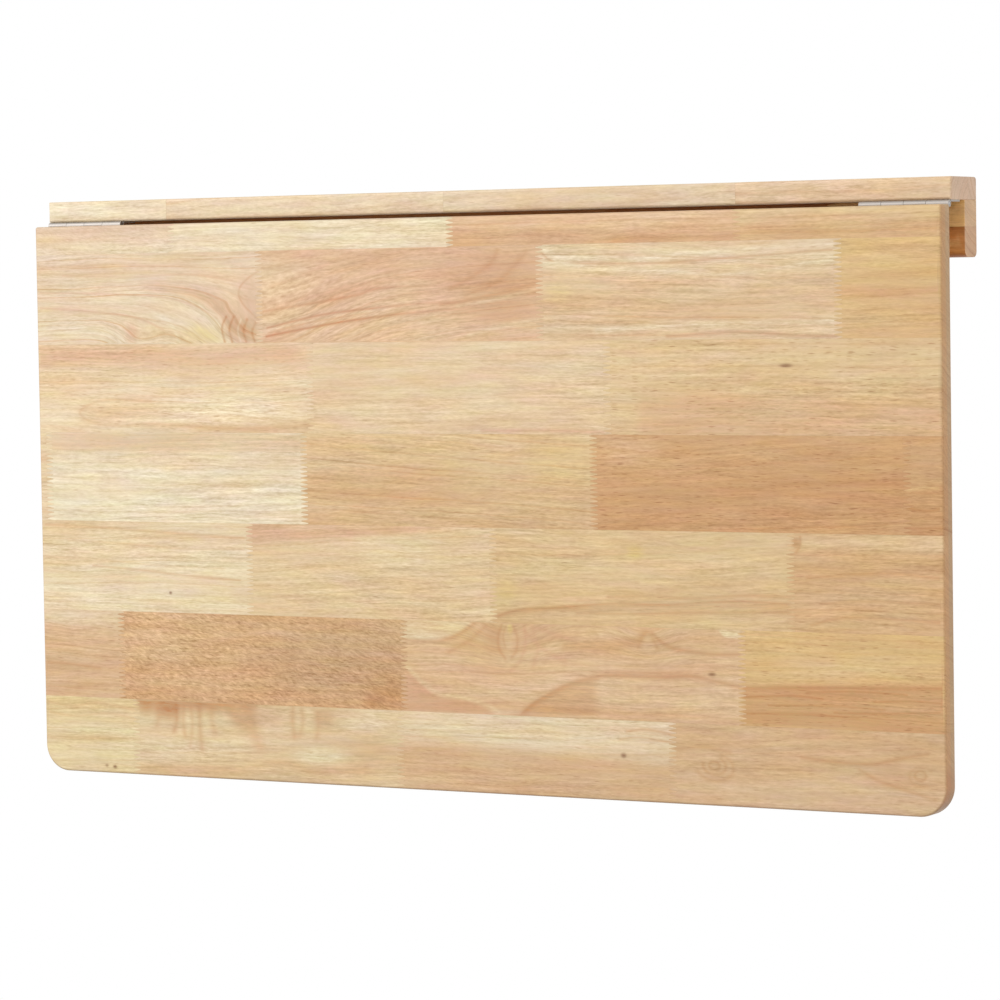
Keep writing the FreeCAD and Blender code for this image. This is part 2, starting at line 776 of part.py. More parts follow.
pr = S["pivot_radius"]
for side, tag in ((-1, "left"), (1, "right")):
    bx = side * S["brace_at"]
    rivet(
        "wall_pivot_" + tag,
        side,
        (bx, pivot_y, wall_pivot_z),
        [(-9.4, -8.0, 5.2, -9.4), (-8.0, -1.6, pr, None), (-1.6, -0.2, 5.2, -0.2)],
    )
    rivet(
        "leaf_pivot_" + tag,
        side,
        (bx, pivot_y, leaf_pivot_z),
        [(6.6, 8.0, 5.2, 8.0), (0.2, 6.6, pr, None), (-1.2, 0.2, 5.2, -1.2)],
    )
    # the knee rivet is in two halves, one set in each link, that face each other
    rivet(
        "knee_rivet_inner_" + tag,
        side,
        (bx, pivot_y, knee_z),
        [(-6.1, -4.7, 5.2, -6.1), (-4.7, -1.7, pr, None), (-1.7, -0.8, 4.6, None)],
    )
    rivet(
        "knee_rivet_outer_" + tag,
        side,
        (bx, pivot_y, knee_z),
        [(3.3, 4.7, 5.2, 4.7), (0.3, 3.3, pr, None), (-0.6, 0.3, 4.6, None)],
    )


# --- groups of like fasteners ----------------------------------------------------
def screw_master(name, head_r, head_deep, shank_r, long, slot_r, slot_w, slot_deep):
    """A countersunk wood screw, head face at z = 0, pointing down, with a cross recess."""
    body = new_body(name)
    sk = new_sketch(body, "XZ")
    polygon(
        sk,
        [
            (0, 0),
            (head_r, 0),
            (shank_r, -head_deep),
            (shank_r, -(long - 1.8 * shank_r)),
            (0.25, -long),
            (0, -long),
        ],
    )
    f = body.newObject("PartDesign::Revolution", name + "_turn")
    f.Profile = sk
    f.ReferenceAxis = (sk, ["V_Axis"])
    f.Angle = 360
    body.Tip = f
    doc.recompute()
    sk = new_sketch(body, "XY", 0)
    a, w = slot_r, slot_w / 2
    polygon(
        sk,
        [
            (-a, -w), (-w, -w), (-w, -a), (w, -a), (w, -w), (a, -w),
            (a, w), (w, w), (w, a), (-w, a), (-w, w), (-a, w),
        ],
    )
    pocket(body, sk, slot_deep)
    return body.Shape.copy()


def group(label, shapes):
    f = doc.addObject("Part::Feature", label)
    f.Label = label
    f.Shape = Part.makeCompound(shapes)
    f.Placement = FreeCAD.Placement()
    return f


def turned(shape, to, at, spin=0.0):
    """A copy of a fastener whose +Z points along to, with its head at a point."""
    s = shape.copy()
    rot = FreeCAD.Rotation(Vector(0, 0, 1), Vector(*to)).multiply(
        FreeCAD.Rotation(Vector(0, 0, 1), spin)
    )
    s.Placement = FreeCAD.Placement(Vector(*[Q.of(a).v for a in at]), rot)
    return s


small = screw_master("small_screw_form", 3.2, 1.4, 1.6, 14.0, 1.9, 0.7, 0.9)
medium = screw_master("bracket_screw_form", 3.9, 2.0, 2.0, 16.0, 2.3, 0.9, 1.2)
long_screw = screw_master("long_screw_form", 4.4, 2.4, 2.25, 45.0, 2.6, 1.0, 1.4)
SPIN = (12, 57, 33, 74, 5, 41)

face = S["barrel_reach"] - S["hinge_sheet"]
spots = [s for side in (-1, 1) for s in screw_at[side]]
group(
    "hinge_strip_screws",
    [
        turned(small, (0, 0, -1), (x, axis_y + b, axis_z + face), SPIN[i])
        for i, (x, b) in enumerate(spots)
    ],
)
group(
    "hinge_leaf_screws",
    [
        turned(small, (0, 1, 0), (x, axis_y - face, axis_z - b), SPIN[5 - i])
        for i, (x, b) in enumerate(spots)
    ],
)
group(
    "wall_bracket_screws",
    [
        turned(
            medium,
            (0, -1, 0),
            (
                side * (S["brace_at"] + wall_flange_u),
                -S["cleat_thick"] - S["ear_thick"],
                wall_pivot_z + dz,
            ),
            SPIN[i],
        )
        for i, (side, dz) in enumerate(
            [(s, d) for s in (-1, 1) for d in BRACKET_SCREW]
        )
    ],
)
group(
    "leaf_bracket_screws",
    [
        turned(
            medium,
            (0, 1, 0),
            (
                side * (S["brace_at"] + leaf_flange_u),
                leaf_back + S["ear_thick"],
                leaf_pivot_z + dz,
            ),
            SPIN[i],
        )
        for i, (side, dz) in enumerate(
            [(s, d) for s in (-1, 1) for d in BRACKET_SCREW]
        )
    ],
)
group(
    "strip_screws",
    [
        turned(long_screw, (0, 0, -1), (x, mid_cleat, -cleat_top + 17.0), SPIN[i])
        for i, x in enumerate(strip_screw_x)
    ],
)
dowel = Part.makeCylinder(S["dowel_radius"].v, S["dowel_long"].v)
dowel = dowel.makeChamfer(
    0.8, [e for e in dowel.Edges if e.Curve.TypeId == "Part::GeomCircle"]
)
group(
    "strip_dowels",
    [
        turned(dowel, (0, 0, 1), (x, mid_cleat, cleat_top - S["dowel_long"] * 0.6))
        for x in strip_dowel_x
    ],
)
group(
    "batten_dowels",
    [
        turned(
            dowel,
            (0, 0, 1),
            (
                side * (S["brace_at"] + d),
                mid_cleat,
                -cleat_top - S["dowel_long"] / 2,
            ),
        )
        for side in (-1, 1)
        for d in (-18, 18)
    ],
)


def ring(r_in, r_out, thick):
    return Part.makeCylinder(r_out, thick).cut(Part.makeCylinder(r_in, thick))


# nylon washers between each ear and its link
washer = ring(pr.v + 0.05, 6.5, 0.6)
for name, z, at in (
    ("wall_pivot_washers", wall_pivot_z, -5.4),
    ("leaf_pivot_washers", leaf_pivot_z, 3.4),
):
    group(
        name,
        [
            turned(
                washer, (side, 0, 0), (side * (S["brace_at"] + at), pivot_y, z)
            )
            for side in (-1, 1)
        ],
    )
# stop pins set in the wall brackets' ears, under the lower links when the leaf is up
stop_pin = Part.makeCylinder(stop_r, 8.0 - 1.9)
group(
    "brace_stop_pins",
    [
        turned(
            stop_pin,
            (side, 0, 0),
            (
                side * (S["brace_at"] - 8.0),
                pivot_y - stop_out,
                wall_pivot_z + stop_up,
            ),
        )
        for side in (-1, 1)
    ],
)

# --- check and write -------------------------------------------------------------
doc.recompute()
PARTS = [
    "top_strip",
    "wall_cleat",
    "wall_batten_left",
    "wall_batten_right",
    "strip_dowels",
    "batten_dowels",
    "strip_screws",
    "hinge_strip_plate_left",
    "hinge_strip_plate_right",
    "hinge_strip_screws",
    "hinge_pin_left",
    "hinge_pin_right",
    "wall_bracket_left",
    "wall_bracket_right",
    "wall_bracket_screws",
    "wall_pivot_left",
    "wall_pivot_right",
    "wall_pivot_washers",
    "brace_stop_pins",
    "drop_leaf",
    "hinge_leaf_plate_left",
    "hinge_leaf_plate_right",
    "hinge_leaf_screws",
    "leaf_bracket_left",
    "leaf_bracket_right",
    "leaf_bracket_screws",
    "leaf_pivot_left",
    "leaf_pivot_right",
    "leaf_pivot_washers",
    "lower_link_left",
    "lower_link_right",
    "knee_rivet_inner_left",
    "knee_rivet_inner_right",
    "upper_link_left",
    "upper_link_right",
    "knee_rivet_outer_left",
    "knee_rivet_outer_right",
]
for obj in doc.Objects:
    if "Invalid" in obj.State or "Error" in obj.State:
        raise SystemExit("%s (%s): %s" % (obj.Name, obj.Label, obj.State))
os.makedirs("parts", exist_ok=True)
for name in PARTS:
    obj = doc.getObjectsByLabel(name)[0]
    shape = obj.Shape
    if shape.isNull() or not shape.isValid() or shape.Volume <= 0:
        raise SystemExit("%s: bad shape" % name)
    shape.exportStep("parts/%s.step" % name)
    b = shape.BoundBox
    print(
        "%-26s solids %d vol %10.1f  x %8.2f %8.2f  y %7.2f %7.2f  z %8.2f %8.2f"
        % (name, len(shape.Solids), shape.Volume, b.XMin, b.XMax, b.YMin, b.YMax, b.ZMin, b.ZMax)
    )
print("lower link %.4f, upper link %.4f, knee z %.4f" % (lower_long.v, upper_long.v, knee_z.v))
print("wall pivot y %.3f z %.3f, leaf pivot z %.3f" % (pivot_y.v, wall_pivot_z.v, leaf_pivot_z.v))
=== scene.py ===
import math
import random

import bmesh
import bpy
import numpy as np
from mathutils import Matrix, Vector
from mathutils.geometry import delaunay_2d_cdt


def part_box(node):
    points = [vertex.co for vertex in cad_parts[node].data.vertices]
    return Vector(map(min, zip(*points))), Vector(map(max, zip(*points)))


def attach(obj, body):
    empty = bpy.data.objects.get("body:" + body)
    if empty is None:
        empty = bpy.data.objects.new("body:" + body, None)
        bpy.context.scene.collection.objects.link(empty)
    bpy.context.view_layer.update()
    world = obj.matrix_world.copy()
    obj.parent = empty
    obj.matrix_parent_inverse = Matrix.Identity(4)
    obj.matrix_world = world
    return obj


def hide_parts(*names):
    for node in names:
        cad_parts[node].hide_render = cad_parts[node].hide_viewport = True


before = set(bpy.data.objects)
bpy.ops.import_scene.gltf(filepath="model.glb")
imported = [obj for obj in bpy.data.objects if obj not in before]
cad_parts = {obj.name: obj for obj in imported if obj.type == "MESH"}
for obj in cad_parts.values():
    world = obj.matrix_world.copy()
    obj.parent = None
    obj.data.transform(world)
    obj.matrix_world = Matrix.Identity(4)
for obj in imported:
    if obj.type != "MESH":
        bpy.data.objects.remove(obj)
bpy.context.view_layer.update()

# Wall mounted drop leaf table: the boards are rebuilt as finger-jointed rubberwood, stave by stave.
# Lengths in this file are millimetres until they reach a mesh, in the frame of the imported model.
MM = 0.001


# --- node helpers ----------------------------------------------------------------
class Net:
    """A material's node tree, and short names for the nodes it needs."""

    def __init__(self, name):
        self.mat = bpy.data.materials.new(name)
        self.mat.use_nodes = True
        self.tree = self.mat.node_tree
        self.tree.nodes.clear()
        out = self.node("ShaderNodeOutputMaterial")
        self.bsdf = self.node("ShaderNodeBsdfPrincipled")
        self.tree.links.new(self.bsdf.outputs[0], out.inputs["Surface"])

    def node(self, kind, **props):
        n = self.tree.nodes.new(kind)
        for k, v in props.items():
            setattr(n, k, v)
        return n

    def put(self, socket, value):
        if isinstance(value, Val):
            value = value.socket
        if isinstance(value, bpy.types.NodeSocket):
            self.tree.links.new(value, socket)
        elif hasattr(value, "__len__") and len(value) == 3 and len(socket.default_value) == 4:
            socket.default_value = (*value, 1.0)
        else:
            socket.default_value = value

    def shader(self, **values):
        for k, v in values.items():
            self.put(self.bsdf.inputs[k.replace("_", " ")], v)

    def math(self, op, *args, clamp=False):
        n = self.node("ShaderNodeMath", operation=op, use_clamp=clamp)
        for s, v in zip(n.inputs, args):
            self.put(s, v)
        return Val(self, n.outputs[0])

    def vec(self, x, y, z):
        n = self.node("ShaderNodeCombineXYZ")
        for s, v in zip(n.inputs, (x, y, z)):
            self.put(s, v)
        return n.outputs[0]

    def split(self, socket):
        n = self.node("ShaderNodeSeparateXYZ")
        self.put(n.inputs[0], socket)
        return [Val(self, s) for s in n.outputs]

    def attribute(self, name):
        return self.node("ShaderNodeAttribute", attribute_name=name).outputs

    def noise(self, x, y, z, detail=2.0, rough=0.5):
        """Centred on 0, about -0.5 to 0.5."""
        n = self.node("ShaderNodeTexNoise")
        self.put(n.inputs["Vector"], self.vec(x, y, z))
        n.inputs["Scale"].default_value = 1.0
        n.inputs["Detail"].default_value = detail
        n.inputs["Roughness"].default_value = rough
        return Val(self, n.outputs[0]) - 0.5

    def ramp(self, value, low, high, smooth=True):
        """0 below low, 1 above high."""
        n = self.node(
            "ShaderNodeMapRange", interpolation_type="SMOOTHSTEP" if smooth else "LINEAR", clamp=True
        )
        self.put(n.inputs["Value"], value)
        self.put(n.inputs["From Min"], low)
        self.put(n.inputs["From Max"], high)
        return Val(self, n.outputs[0])

    def mix(self, share, a, b, how="MIX"):
        n = self.node("ShaderNodeMix", data_type="RGBA", blend_type=how, clamp_factor=True)
        self.put(n.inputs[0], share)
        self.put(n.inputs[6], a)
        self.put(n.inputs[7], b)
        return n.outputs[2]

    def times(self, colour, value):
        """A colour times a number."""
        n = self.node("ShaderNodeVectorMath", operation="SCALE")
        self.put(n.inputs[0], colour)
        self.put(n.inputs["Scale"], value)
        return n.outputs[0]

    def bump(self, height, strength, distance):
        n = self.node("ShaderNodeBump")
        n.inputs["Strength"].default_value = strength
        n.inputs["Distance"].default_value = distance
        self.put(n.inputs["Height"], height)
        self.put(self.bsdf.inputs["Normal"], n.outputs[0])


class Val:
    """A number that varies over the surface."""

    def __init__(self, net, socket):
        self.net, self.socket = net, socket

    def _do(self, op, *args, **kw):
        return self.net.math(op, *args, **kw)

    def __add__(self, o):
        return self._do("ADD", self, o)

    __radd__ = __add__

    def __mul__(self, o):
        return self._do("MULTIPLY", self, o)

    __rmul__ = __mul__

    def __sub__(self, o):
        return self._do("SUBTRACT", self, o)

    def __rsub__(self, o):
        return self._do("SUBTRACT", o, self)

    def __truediv__(self, o):
        return self._do("DIVIDE", self, o)

    def __neg__(self):
        return self._do("MULTIPLY", self, -1.0)

    def op(self, name, *args):
        return self._do(name, self, *args)


def linear(r, g, b):
    """A colour given as on a screen, 0 to 255, for a shader."""
    return tuple(
        c / 12.92 if c <= 0.04045 else ((c + 0.055) / 1.055) ** 2.4
        for c in (r / 255, g / 255, b / 255)
    )


# --- rubberwood ------------------------------------------------------------------
# Tones of clear-lacquered rubberwood, from sapwood to heartwood, as they look in bright light,
# and how much of that light the wood itself gives back.
LEVEL = (0.6365, 0.635, 0.6225)
TONES = {
    "ivory": linear(250, 236, 205),
    "cream": linear(244, 226, 193),
    "pale": linear(239, 215, 181),
    "honey": linear(233, 204, 165),
    "gold": linear(229, 195, 144),
    "rose": linear(235, 202, 171),
    "tan": linear(226, 188, 147),
    "pink": linear(222, 174, 144),
    "brown": linear(214, 168, 124),
    "umber": linear(196, 136, 82),
    "rust": linear(190, 122, 66),
    "lemon": linear(234, 208, 146),
    "ash": linear(196, 160, 122),
    "red": linear(190, 118, 68),
    "bark": linear(134, 84, 48),
}


def lit(tone, shade=(1.0, 1.0, 1.0)):
    return tuple(c * k * level for c, k, level in zip(tone, shade, LEVEL))


class Stave:
    """One piece of wood in a board, and how it was sawn from the log.

    pith: where the log's middle is, across and behind the stave's middle. tilt: how far it moves
    per mm along the grain. ring: spacing of the growth rings. line, pore, curl, band: how much of
    growth lines, open pores, interlocked grain and broad colour bands the stave shows.
    two: a second tone beyond a line across the stave (split: place, slope, softness), and its share.
    look: the features that only this stave has. light, warm, yellow: how bright and how golden it is.
    """

    def __init__(self, tone, two="tan", share=0.0, split=(0, 0, 8), pith=(90, 40), tilt=(0, 0),
                 ring=6.0, line=0.4, pore=0.6, curl=0.0, band=0.5, look=(), light=1.0, warm=0.0, yellow=0.0):
        self.shade = (light, light * (1 - 0.25 * warm + yellow), light * (1 - warm))
        self.base = lit(TONES[tone], self.shade)
        self.two = lit(TONES[two], self.shade)
        self.share, self.split_at, self.pith, self.tilt = share, split, pith, tilt
        self.ring, self.line, self.pore, self.curl, self.band = ring, line, pore, curl, band
        self.look = list(look)


def rubberwood():
    net = Net("rubberwood")
    g, a, t = net.split(net.attribute("wood_p")["Vector"])
    pith_a, pith_t, seed = net.split(net.attribute("log_a")["Vector"])
    tilt_a, tilt_t, ring = net.split(net.attribute("log_b")["Vector"])
    line_s, pore_s, curl_s = net.split(net.attribute("figure")["Vector"])
    place, slope, soft = net.split(net.attribute("split")["Vector"])
    mid_g, mid_a, band_s = net.split(net.attribute("cell")["Vector"])
    base = net.attribute("wood_base")["Color"]
    two = net.attribute("wood_two")
    stain = net.attribute("stain")
    end_tone = net.attribute("end_tone")
    end_tone, back_shade_and_red_corners = end_tone["Color"], Val(net, end_tone["Alpha"])
    lift = Val(net, net.attribute("lift")["Fac"])
    end = Val(net, net.attribute("end_grain")["Fac"])
    glue = Val(net, net.attribute("glue")["Fac"])
    edge = Val(net, net.attribute("edge")["Fac"])

    along, across = g - mid_g, a - mid_a
    # slow and quick wander of the fibres
    n1 = net.noise(g * 0.0043 + seed, a * 0.016 + seed * 1.7, t * 0.016, 1.5)
    n2 = net.noise(g * 0.0135 + seed, a * 0.05, t * 0.05 + seed, 2.0)
    n3 = net.noise(g * 0.05, a * 0.14 + seed, t * 0.14, 2.0)
    wander = n1 * 12.0 + n2 * 3.6 + n3 * 1.1
    flow = a + lift * 0.9 + wander  # follows the fibres
    ring_a = across + lift - pith_a - tilt_a * along + wander
    ring_t = t - pith_t - tilt_t * along - n1 * 7.0 - n2 * 2.0
    radius = (ring_a * ring_a + ring_t * ring_t).op("SQRT")
    phase = radius / ring + net.noise(radius * 0.05 + seed, g * 0.0015, 0.0, 1.0) * 1.8
    which, part = phase.op("FLOOR"), phase.op("FRACT")
    white = net.node("ShaderNodeTexWhiteNoise", noise_dimensions="1D")
    net.put(white.inputs["W"], which + seed * 13.0)
    strength = Val(net, white.outputs["Value"])
    fade = net.noise(g * 0.011 + seed, radius * 0.12, 0.0, 1.0) * 2.4 + 0.85
    late = net.ramp(part, 0.62, 0.90) * (1.0 - net.ramp(part, 0.92, 1.0)) * (strength * strength) * fade
    early = (1.0 - net.ramp(part, 0.02, 0.30)) * strength * fade
    band = net.noise(phase * 0.42 + seed, g * 0.003, 0.0, 1.5)
    streak = net.noise(g * 0.009 + seed, radius * 0.42, t * 0.02, 3.0, 0.6)
    streak2 = net.noise(g * 0.034, flow * 0.50 + seed, t * 0.4, 3.0, 0.65)
    fibre = net.noise(g * 0.16, flow * 0.95, t * 0.95 + seed, 2.5, 0.6)
    busy = 0.62 + net.ramp(net.noise(g * 0.005 + seed * 2.0, flow * 0.035, t * 0.03, 2.0), -0.2, 0.2) * 0.76
    mottle = net.noise(g * 0.02 + seed, a * 0.05, t * 0.05, 2.0)
    hue1 = net.noise(g * 0.013 + seed, flow * 0.085, t * 0.085, 2.5)
    hue2 = net.noise(g * 0.027, flow * 0.15 + seed, t * 0.15, 2.0)
    curl = net.noise(g * 0.20 + flow * 0.06, flow * 0.75 + g * 0.16 + n3 * 4.0, t * 0.7 + seed, 2.0, 0.6)

    # open pores: long thin cells along the grain, dots on the end grain
    cells = net.node("ShaderNodeTexVoronoi", voronoi_dimensions="3D", feature="F1")
    net.put(cells.inputs["Vector"], net.vec(g * 0.10, flow * 0.85, t * 0.85 + seed))
    cells.inputs["Scale"].default_value = 1.0
    pick = net.node("ShaderNodeSeparateColor")
    net.put(pick.inputs[0], cells.outputs["Color"])
    near = 1.0 - net.ramp(Val(net, cells.outputs["Distance"]), 0.14, 0.40)
    pore = near * net.ramp(Val(net, pick.outputs[0]), 0.35, 0.85) * pore_s
    # a few longer, darker ones
    slits = net.node("ShaderNodeTexVoronoi", voronoi_dimensions="3D", feature="F1")
    net.put(slits.inputs["Vector"], net.vec(g * 0.055 + seed, flow * 0.45, t * 0.45))
    slits.inputs["Scale"].default_value = 1.0
    pick2 = net.node("ShaderNodeSeparateColor")
    net.put(pick2.inputs[0], slits.outputs["Color"])
    slit = (1.0 - net.ramp(Val(net, slits.outputs["Distance"]), 0.08, 0.28)) * net.ramp(
        Val(net, pick2.outputs[0]), 0.60, 0.85
    ) * pore_s

    # second tone beyond a wandering line
    side = (across + lift - place - slope * along + n1 * 6.0 + n2 * 4.0 + n3 * 2.0) / soft
    share = net.ramp(side, -1.0, 1.0) * Val(net, two["Alpha"])
    colour = net.mix(share, base, two["Color"])
    deeper = net.mix(1.0, colour, (0.89, 0.80, 0.68), "MULTIPLY")
    lighter = net.mix(1.0, colour, (1.05, 1.09, 1.12), "MULTIPLY")
    colour = net.mix(net.ramp(band, 0.0, 0.26) * band_s, colour, deeper)
    colour = net.mix(net.ramp(band, 0.0, -0.26) * band_s * 0.8, colour, lighter)
    stained = Val(net, stain["Alpha"]) * (1.0 + fibre * 1.3 + streak2 * 1.6)
    colour = net.mix(stained, colour, stain["Color"])
    colour = net.mix(late * line_s * 0.9, colour, net.mix(1.0, colour, (0.84, 0.66, 0.50), "MULTIPLY"))
    colour = net.mix(early * line_s * 0.5, colour, net.mix(1.0, colour, (1.03, 1.06, 1.08), "MULTIPLY"))
    tint = net.vec(
        1.0 + hue2 * 0.05, 1.0 - hue1 * 0.26 + hue2 * 0.14, 1.0 - hue1 * 0.44 - hue2 * 0.20
    )
    colour = net.mix(1.0, colour, tint, "MULTIPLY")
    light = (
        streak * 0.46 + streak2 * 0.48 + fibre * 0.52
    ) * busy + mottle * 0.14 + curl * curl_s * 1.25
    # darker streaks are also deeper in colour
    colour = net.mix(1.0, colour, net.vec(1.0 + light * 0.92, 1.0 + light * 1.08, 1.0 + light * 1.42), "MULTIPLY")
    colour = net.mix(pore * 0.50, colour, net.mix(1.0, colour, (0.70, 0.56, 0.44), "MULTIPLY"))
    colour = net.mix(slit * 0.60, colour, net.mix(1.0, colour, (0.62, 0.46, 0.34), "MULTIPLY"))
    # cut across the fibres, the wood has another tone
    across_cut = net.times(end_tone, 1.0 + streak * 0.5 + mottle * 0.3 + fibre * 0.5)
    across_cut = net.mix(late * 0.7, across_cut, net.mix(1.0, across_cut, (0.72, 0.58, 0.50), "MULTIPLY"))
    across_cut = net.mix(pore * 0.5, across_cut, net.mix(1.0, across_cut, (0.60, 0.46, 0.36), "MULTIPLY"))
    # the leaf's ends: painted shade greys them towards the back, and they are redder at the lower corners
    painted_back_shade = back_shade_and_red_corners * net.ramp(t, -2.5, 2.0) * (1.0 + streak * 0.8)
    across_cut = net.mix(painted_back_shade, across_cut, net.mix(1.0, across_cut, (0.88, 1.06, 1.36), "MULTIPLY"))
    reddish = back_shade_and_red_corners * net.ramp(-a, 434.0, 452.0) * (0.62 + streak * 1.5)
    across_cut = net.mix(reddish, across_cut, net.mix(1.0, across_cut, (0.86, 0.62, 0.55), "MULTIPLY"))
    colour = net.mix(end * 0.82, colour, across_cut)
    colour = net.mix(edge * 0.35, colour, net.mix(1.0, colour, (0.82, 0.76, 0.70), "MULTIPLY"))
    # painted shade: faces that turn downwards are darkened, as if little light came from below
    colour = net.mix(Val(net, net.attribute("painted_under_shade")["Fac"]), colour,
                     net.mix(1.0, colour, (0.56, 0.50, 0.44), "MULTIPLY"))
    seam = glue * net.ramp(net.noise(g * 0.08, a * 0.9, seed, 2.0), -0.20, 0.16)
    colour = net.mix(seam * 0.32, colour, net.mix(1.0, colour, (0.45, 0.33, 0.25), "MULTIPLY"))
    net.shader(Base_Color=colour)
    rough = 0.46 + pore * 0.18 + fibre * 0.16 + end * 0.14 - edge * 0.05 + mottle * 0.10
    net.shader(Roughness=rough)
    net.bsdf.inputs["IOR"].default_value = 1.47
    net.bsdf.inputs["Specular IOR Level"].default_value = 0.42
    height = fibre * 0.35 - pore * 0.9 - slit * 0.8 - seam * 0.7 - late * line_s * 0.3 + n3 * 0.5
    net.bump(height, 0.55, 0.00012)
    return net.mat


# --- features of single staves ---------------------------------------------------
# Places are mm from the leaf's left edge, and mm down from its hinge edge.
LEFT, TOP = -450.0, 19.6


def smooth_line(points, step=2.5):
    """A smooth curve through the points."""
    p = [np.array(q, float) for q in points]
    if len(p) == 2:
        n = max(1, int(np.hypot(*(p[1] - p[0])) / step))
        return np.array([p[0] + (p[1] - p[0]) * i / n for i in range(n + 1)])
    p = [2 * p[0] - p[1]] + p + [2 * p[-1] - p[-2]]
    out = []
    for p0, p1, p2, p3 in zip(p, p[1:], p[2:], p[3:]):
        n = max(1, int(np.hypot(*(p2 - p1)) / step))
        for i in range(n):
            u = i / n
            out.append(
                0.5 * (2 * p1 + (p2 - p0) * u + (2 * p0 - 5 * p1 + 4 * p2 - p3) * u * u
                       + (3 * p1 - p0 - 3 * p2 + p3) * u ** 3)
            )
    out.append(p[-2])
    return np.array(out)


def shifted(line, by):
    d = np.gradient(line, axis=0)
    n = np.stack([-d[:, 1], d[:, 0]], 1) / np.maximum(np.hypot(d[:, 0], d[:, 1]), 1e-9)[:, None]
    return line + n * by


def reach(line, g, a):
    """Distance from points to a line, and on which side they are."""
    best = np.full(g.shape, 1e9)
    sign = np.ones(g.shape)
    for (x0, y0), (x1, y1) in zip(line, line[1:]):
        dx, dy = x1 - x0, y1 - y0
        u = np.clip(((g - x0) * dx + (a - y0) * dy) / (dx * dx + dy * dy + 1e-12), 0, 1)
        ex, ey = g - (x0 + u * dx), a - (y0 + u * dy)
        d = np.hypot(ex, ey)
        m = d < best
        best = np.where(m, d, best)
        sign = np.where(m, np.sign(dx * ey - dy * ex), sign)
    return best, sign


def dots(x, y, rx, ry, step):
    out = []
    n, m = int(rx / step), int(ry / (step * 0.866))
    for j in range(-m, m + 1):
        for i in range(-n, n + 1):
            u, v = (i + (j % 2) / 2) * step, j * step * 0.866
            if (u / rx) ** 2 + (v / ry) ** 2 <= 1:
                out.append((x + u, y + v))
    return out


class Bend:
    """The fibres and rings run lower here by so many mm, as they pass a branch."""

    def __init__(self, x, down, half_x, half_z, mm):
        self.at, self.half, self.mm = (LEFT + x, TOP - down), (half_x, half_z), mm

    def lift(self, g, a):
        (x, y), (rx, ry) = self.at, self.half
        return self.mm * np.exp(-(((g - x) / rx) ** 2) - ((a - y) / ry) ** 2)

    def points(self):
        step = min(4.0, max(1.6, min(self.half) / 4))
        return dots(*self.at, self.half[0] * 1.8, self.half[1] * 1.8, step) if step < 4 else []


class Spot:
    """A soft oval of another tone."""

    def __init__(self, x, down, half_x, half_z, tone, strength, lean=0.0):
        self.at, self.half, self.lean = (LEFT + x, TOP - down), (half_x, half_z), lean
        self.tone, self.strength = tone, strength

    def share(self, g, a, level):
        (x, y), (rx, ry) = self.at, self.half
        q = ((g - x) / rx) ** 2 + ((a - y - self.lean * (g - x)) / ry) ** 2
        return self.strength * np.exp(-(q ** 1.5))

    def points(self):
        step = max(0.7, min(self.half) / 3)
        return dots(*self.at, self.half[0] * 1.6, self.half[1] * 1.6, step) if step < 3.5 else []


class Band:
    """A band of another tone that follows the fibres, from x0 to x1."""

    def __init__(self, down, half, tone, strength, x0=-60, x1=960, fade=25):
        self.level, self.half, self.ends, self.fade = TOP - down, half, (LEFT + x0, LEFT + x1), fade
        self.tone, self.strength = tone, strength

    def share(self, g, a, level):
        x0, x1 = self.ends
        window = np.clip((g - x0) / self.fade, 0, 1) * np.clip((x1 - g) / self.fade, 0, 1)
        return self.strength * window * np.exp(-(((level - self.level) / self.half) ** 2))

    def points(self):
        return []


class Stroke:
    """A line of another tone along a curve; it fades out to the right between two x."""

    def __init__(self, points, half, tone, strength, fade=(1000, 1001)):
        self.line = smooth_line([(LEFT + x, TOP - d) for x, d in points])
        self.half, self.tone, self.strength = half, tone, strength
        self.fade = (LEFT + fade[0], LEFT + fade[1])

    def share(self, g, a, level):
        d, _ = reach(self.line, g, a)
        x0, x1 = self.fade
        return self.strength * np.clip((x1 - g) / (x1 - x0), 0, 1) * np.exp(-((d / self.half) ** 2))

    def lines(self):
        return [shifted(self.line, k * self.half) for k in (-2.0, -0.8, 0.0, 0.8, 2.0)]

    def points(self):
        return []


class Fill:
    """Another tone on one side of a curve: side 1 is on the left of its direction."""

    def __init__(self, points, side, tone, strength, soft=2.0, depth=40.0):
        self.line = smooth_line([(LEFT + x, TOP - d) for x, d in points])
        self.side, self.tone, self.strength, self.soft, self.depth = side, tone, strength, soft, depth

    def share(self, g, a, level):
        d, sign = reach(self.line, g, a)
        d = d * sign * self.side
        u = np.clip(d / self.soft + 0.5, 0, 1)
        ends = np.clip((g - self.line[0][0]) / 9 + 0.5, 0, 1) * np.clip((self.line[-1][0] - g) / 9 + 0.5, 0, 1)
        return self.strength * u * u * (3 - 2 * u) * np.clip((self.depth - d) / (self.depth * 0.4), 0, 1) * ends

    def lines(self):
        return [shifted(self.line, k * self.soft) for k in (-0.5, 0.0, 0.5)]

    def points(self):
        return []


# --- boards ----------------------------------------------------------------------
PITCH, FINGER, TIP = 3.83, 7.2, 0.62  # finger joints: pitch, length and width of the finger tips
GLUE_ROW, GLUE_TIP = 0.20, 0.55


def wave(x):
    """The outline of finger joints: 1 at one row of tips, -1 at the other, over a pitch."""
    h = TIP / 2 / PITCH
    x = x % 1.0
    if x > 0.5:
        x = 1.0 - x
    return 1.0 if x <= h else -1.0 if x >= 0.5 - h else 1.0 - 2.0 * (x - h) / (0.5 - 2 * h)


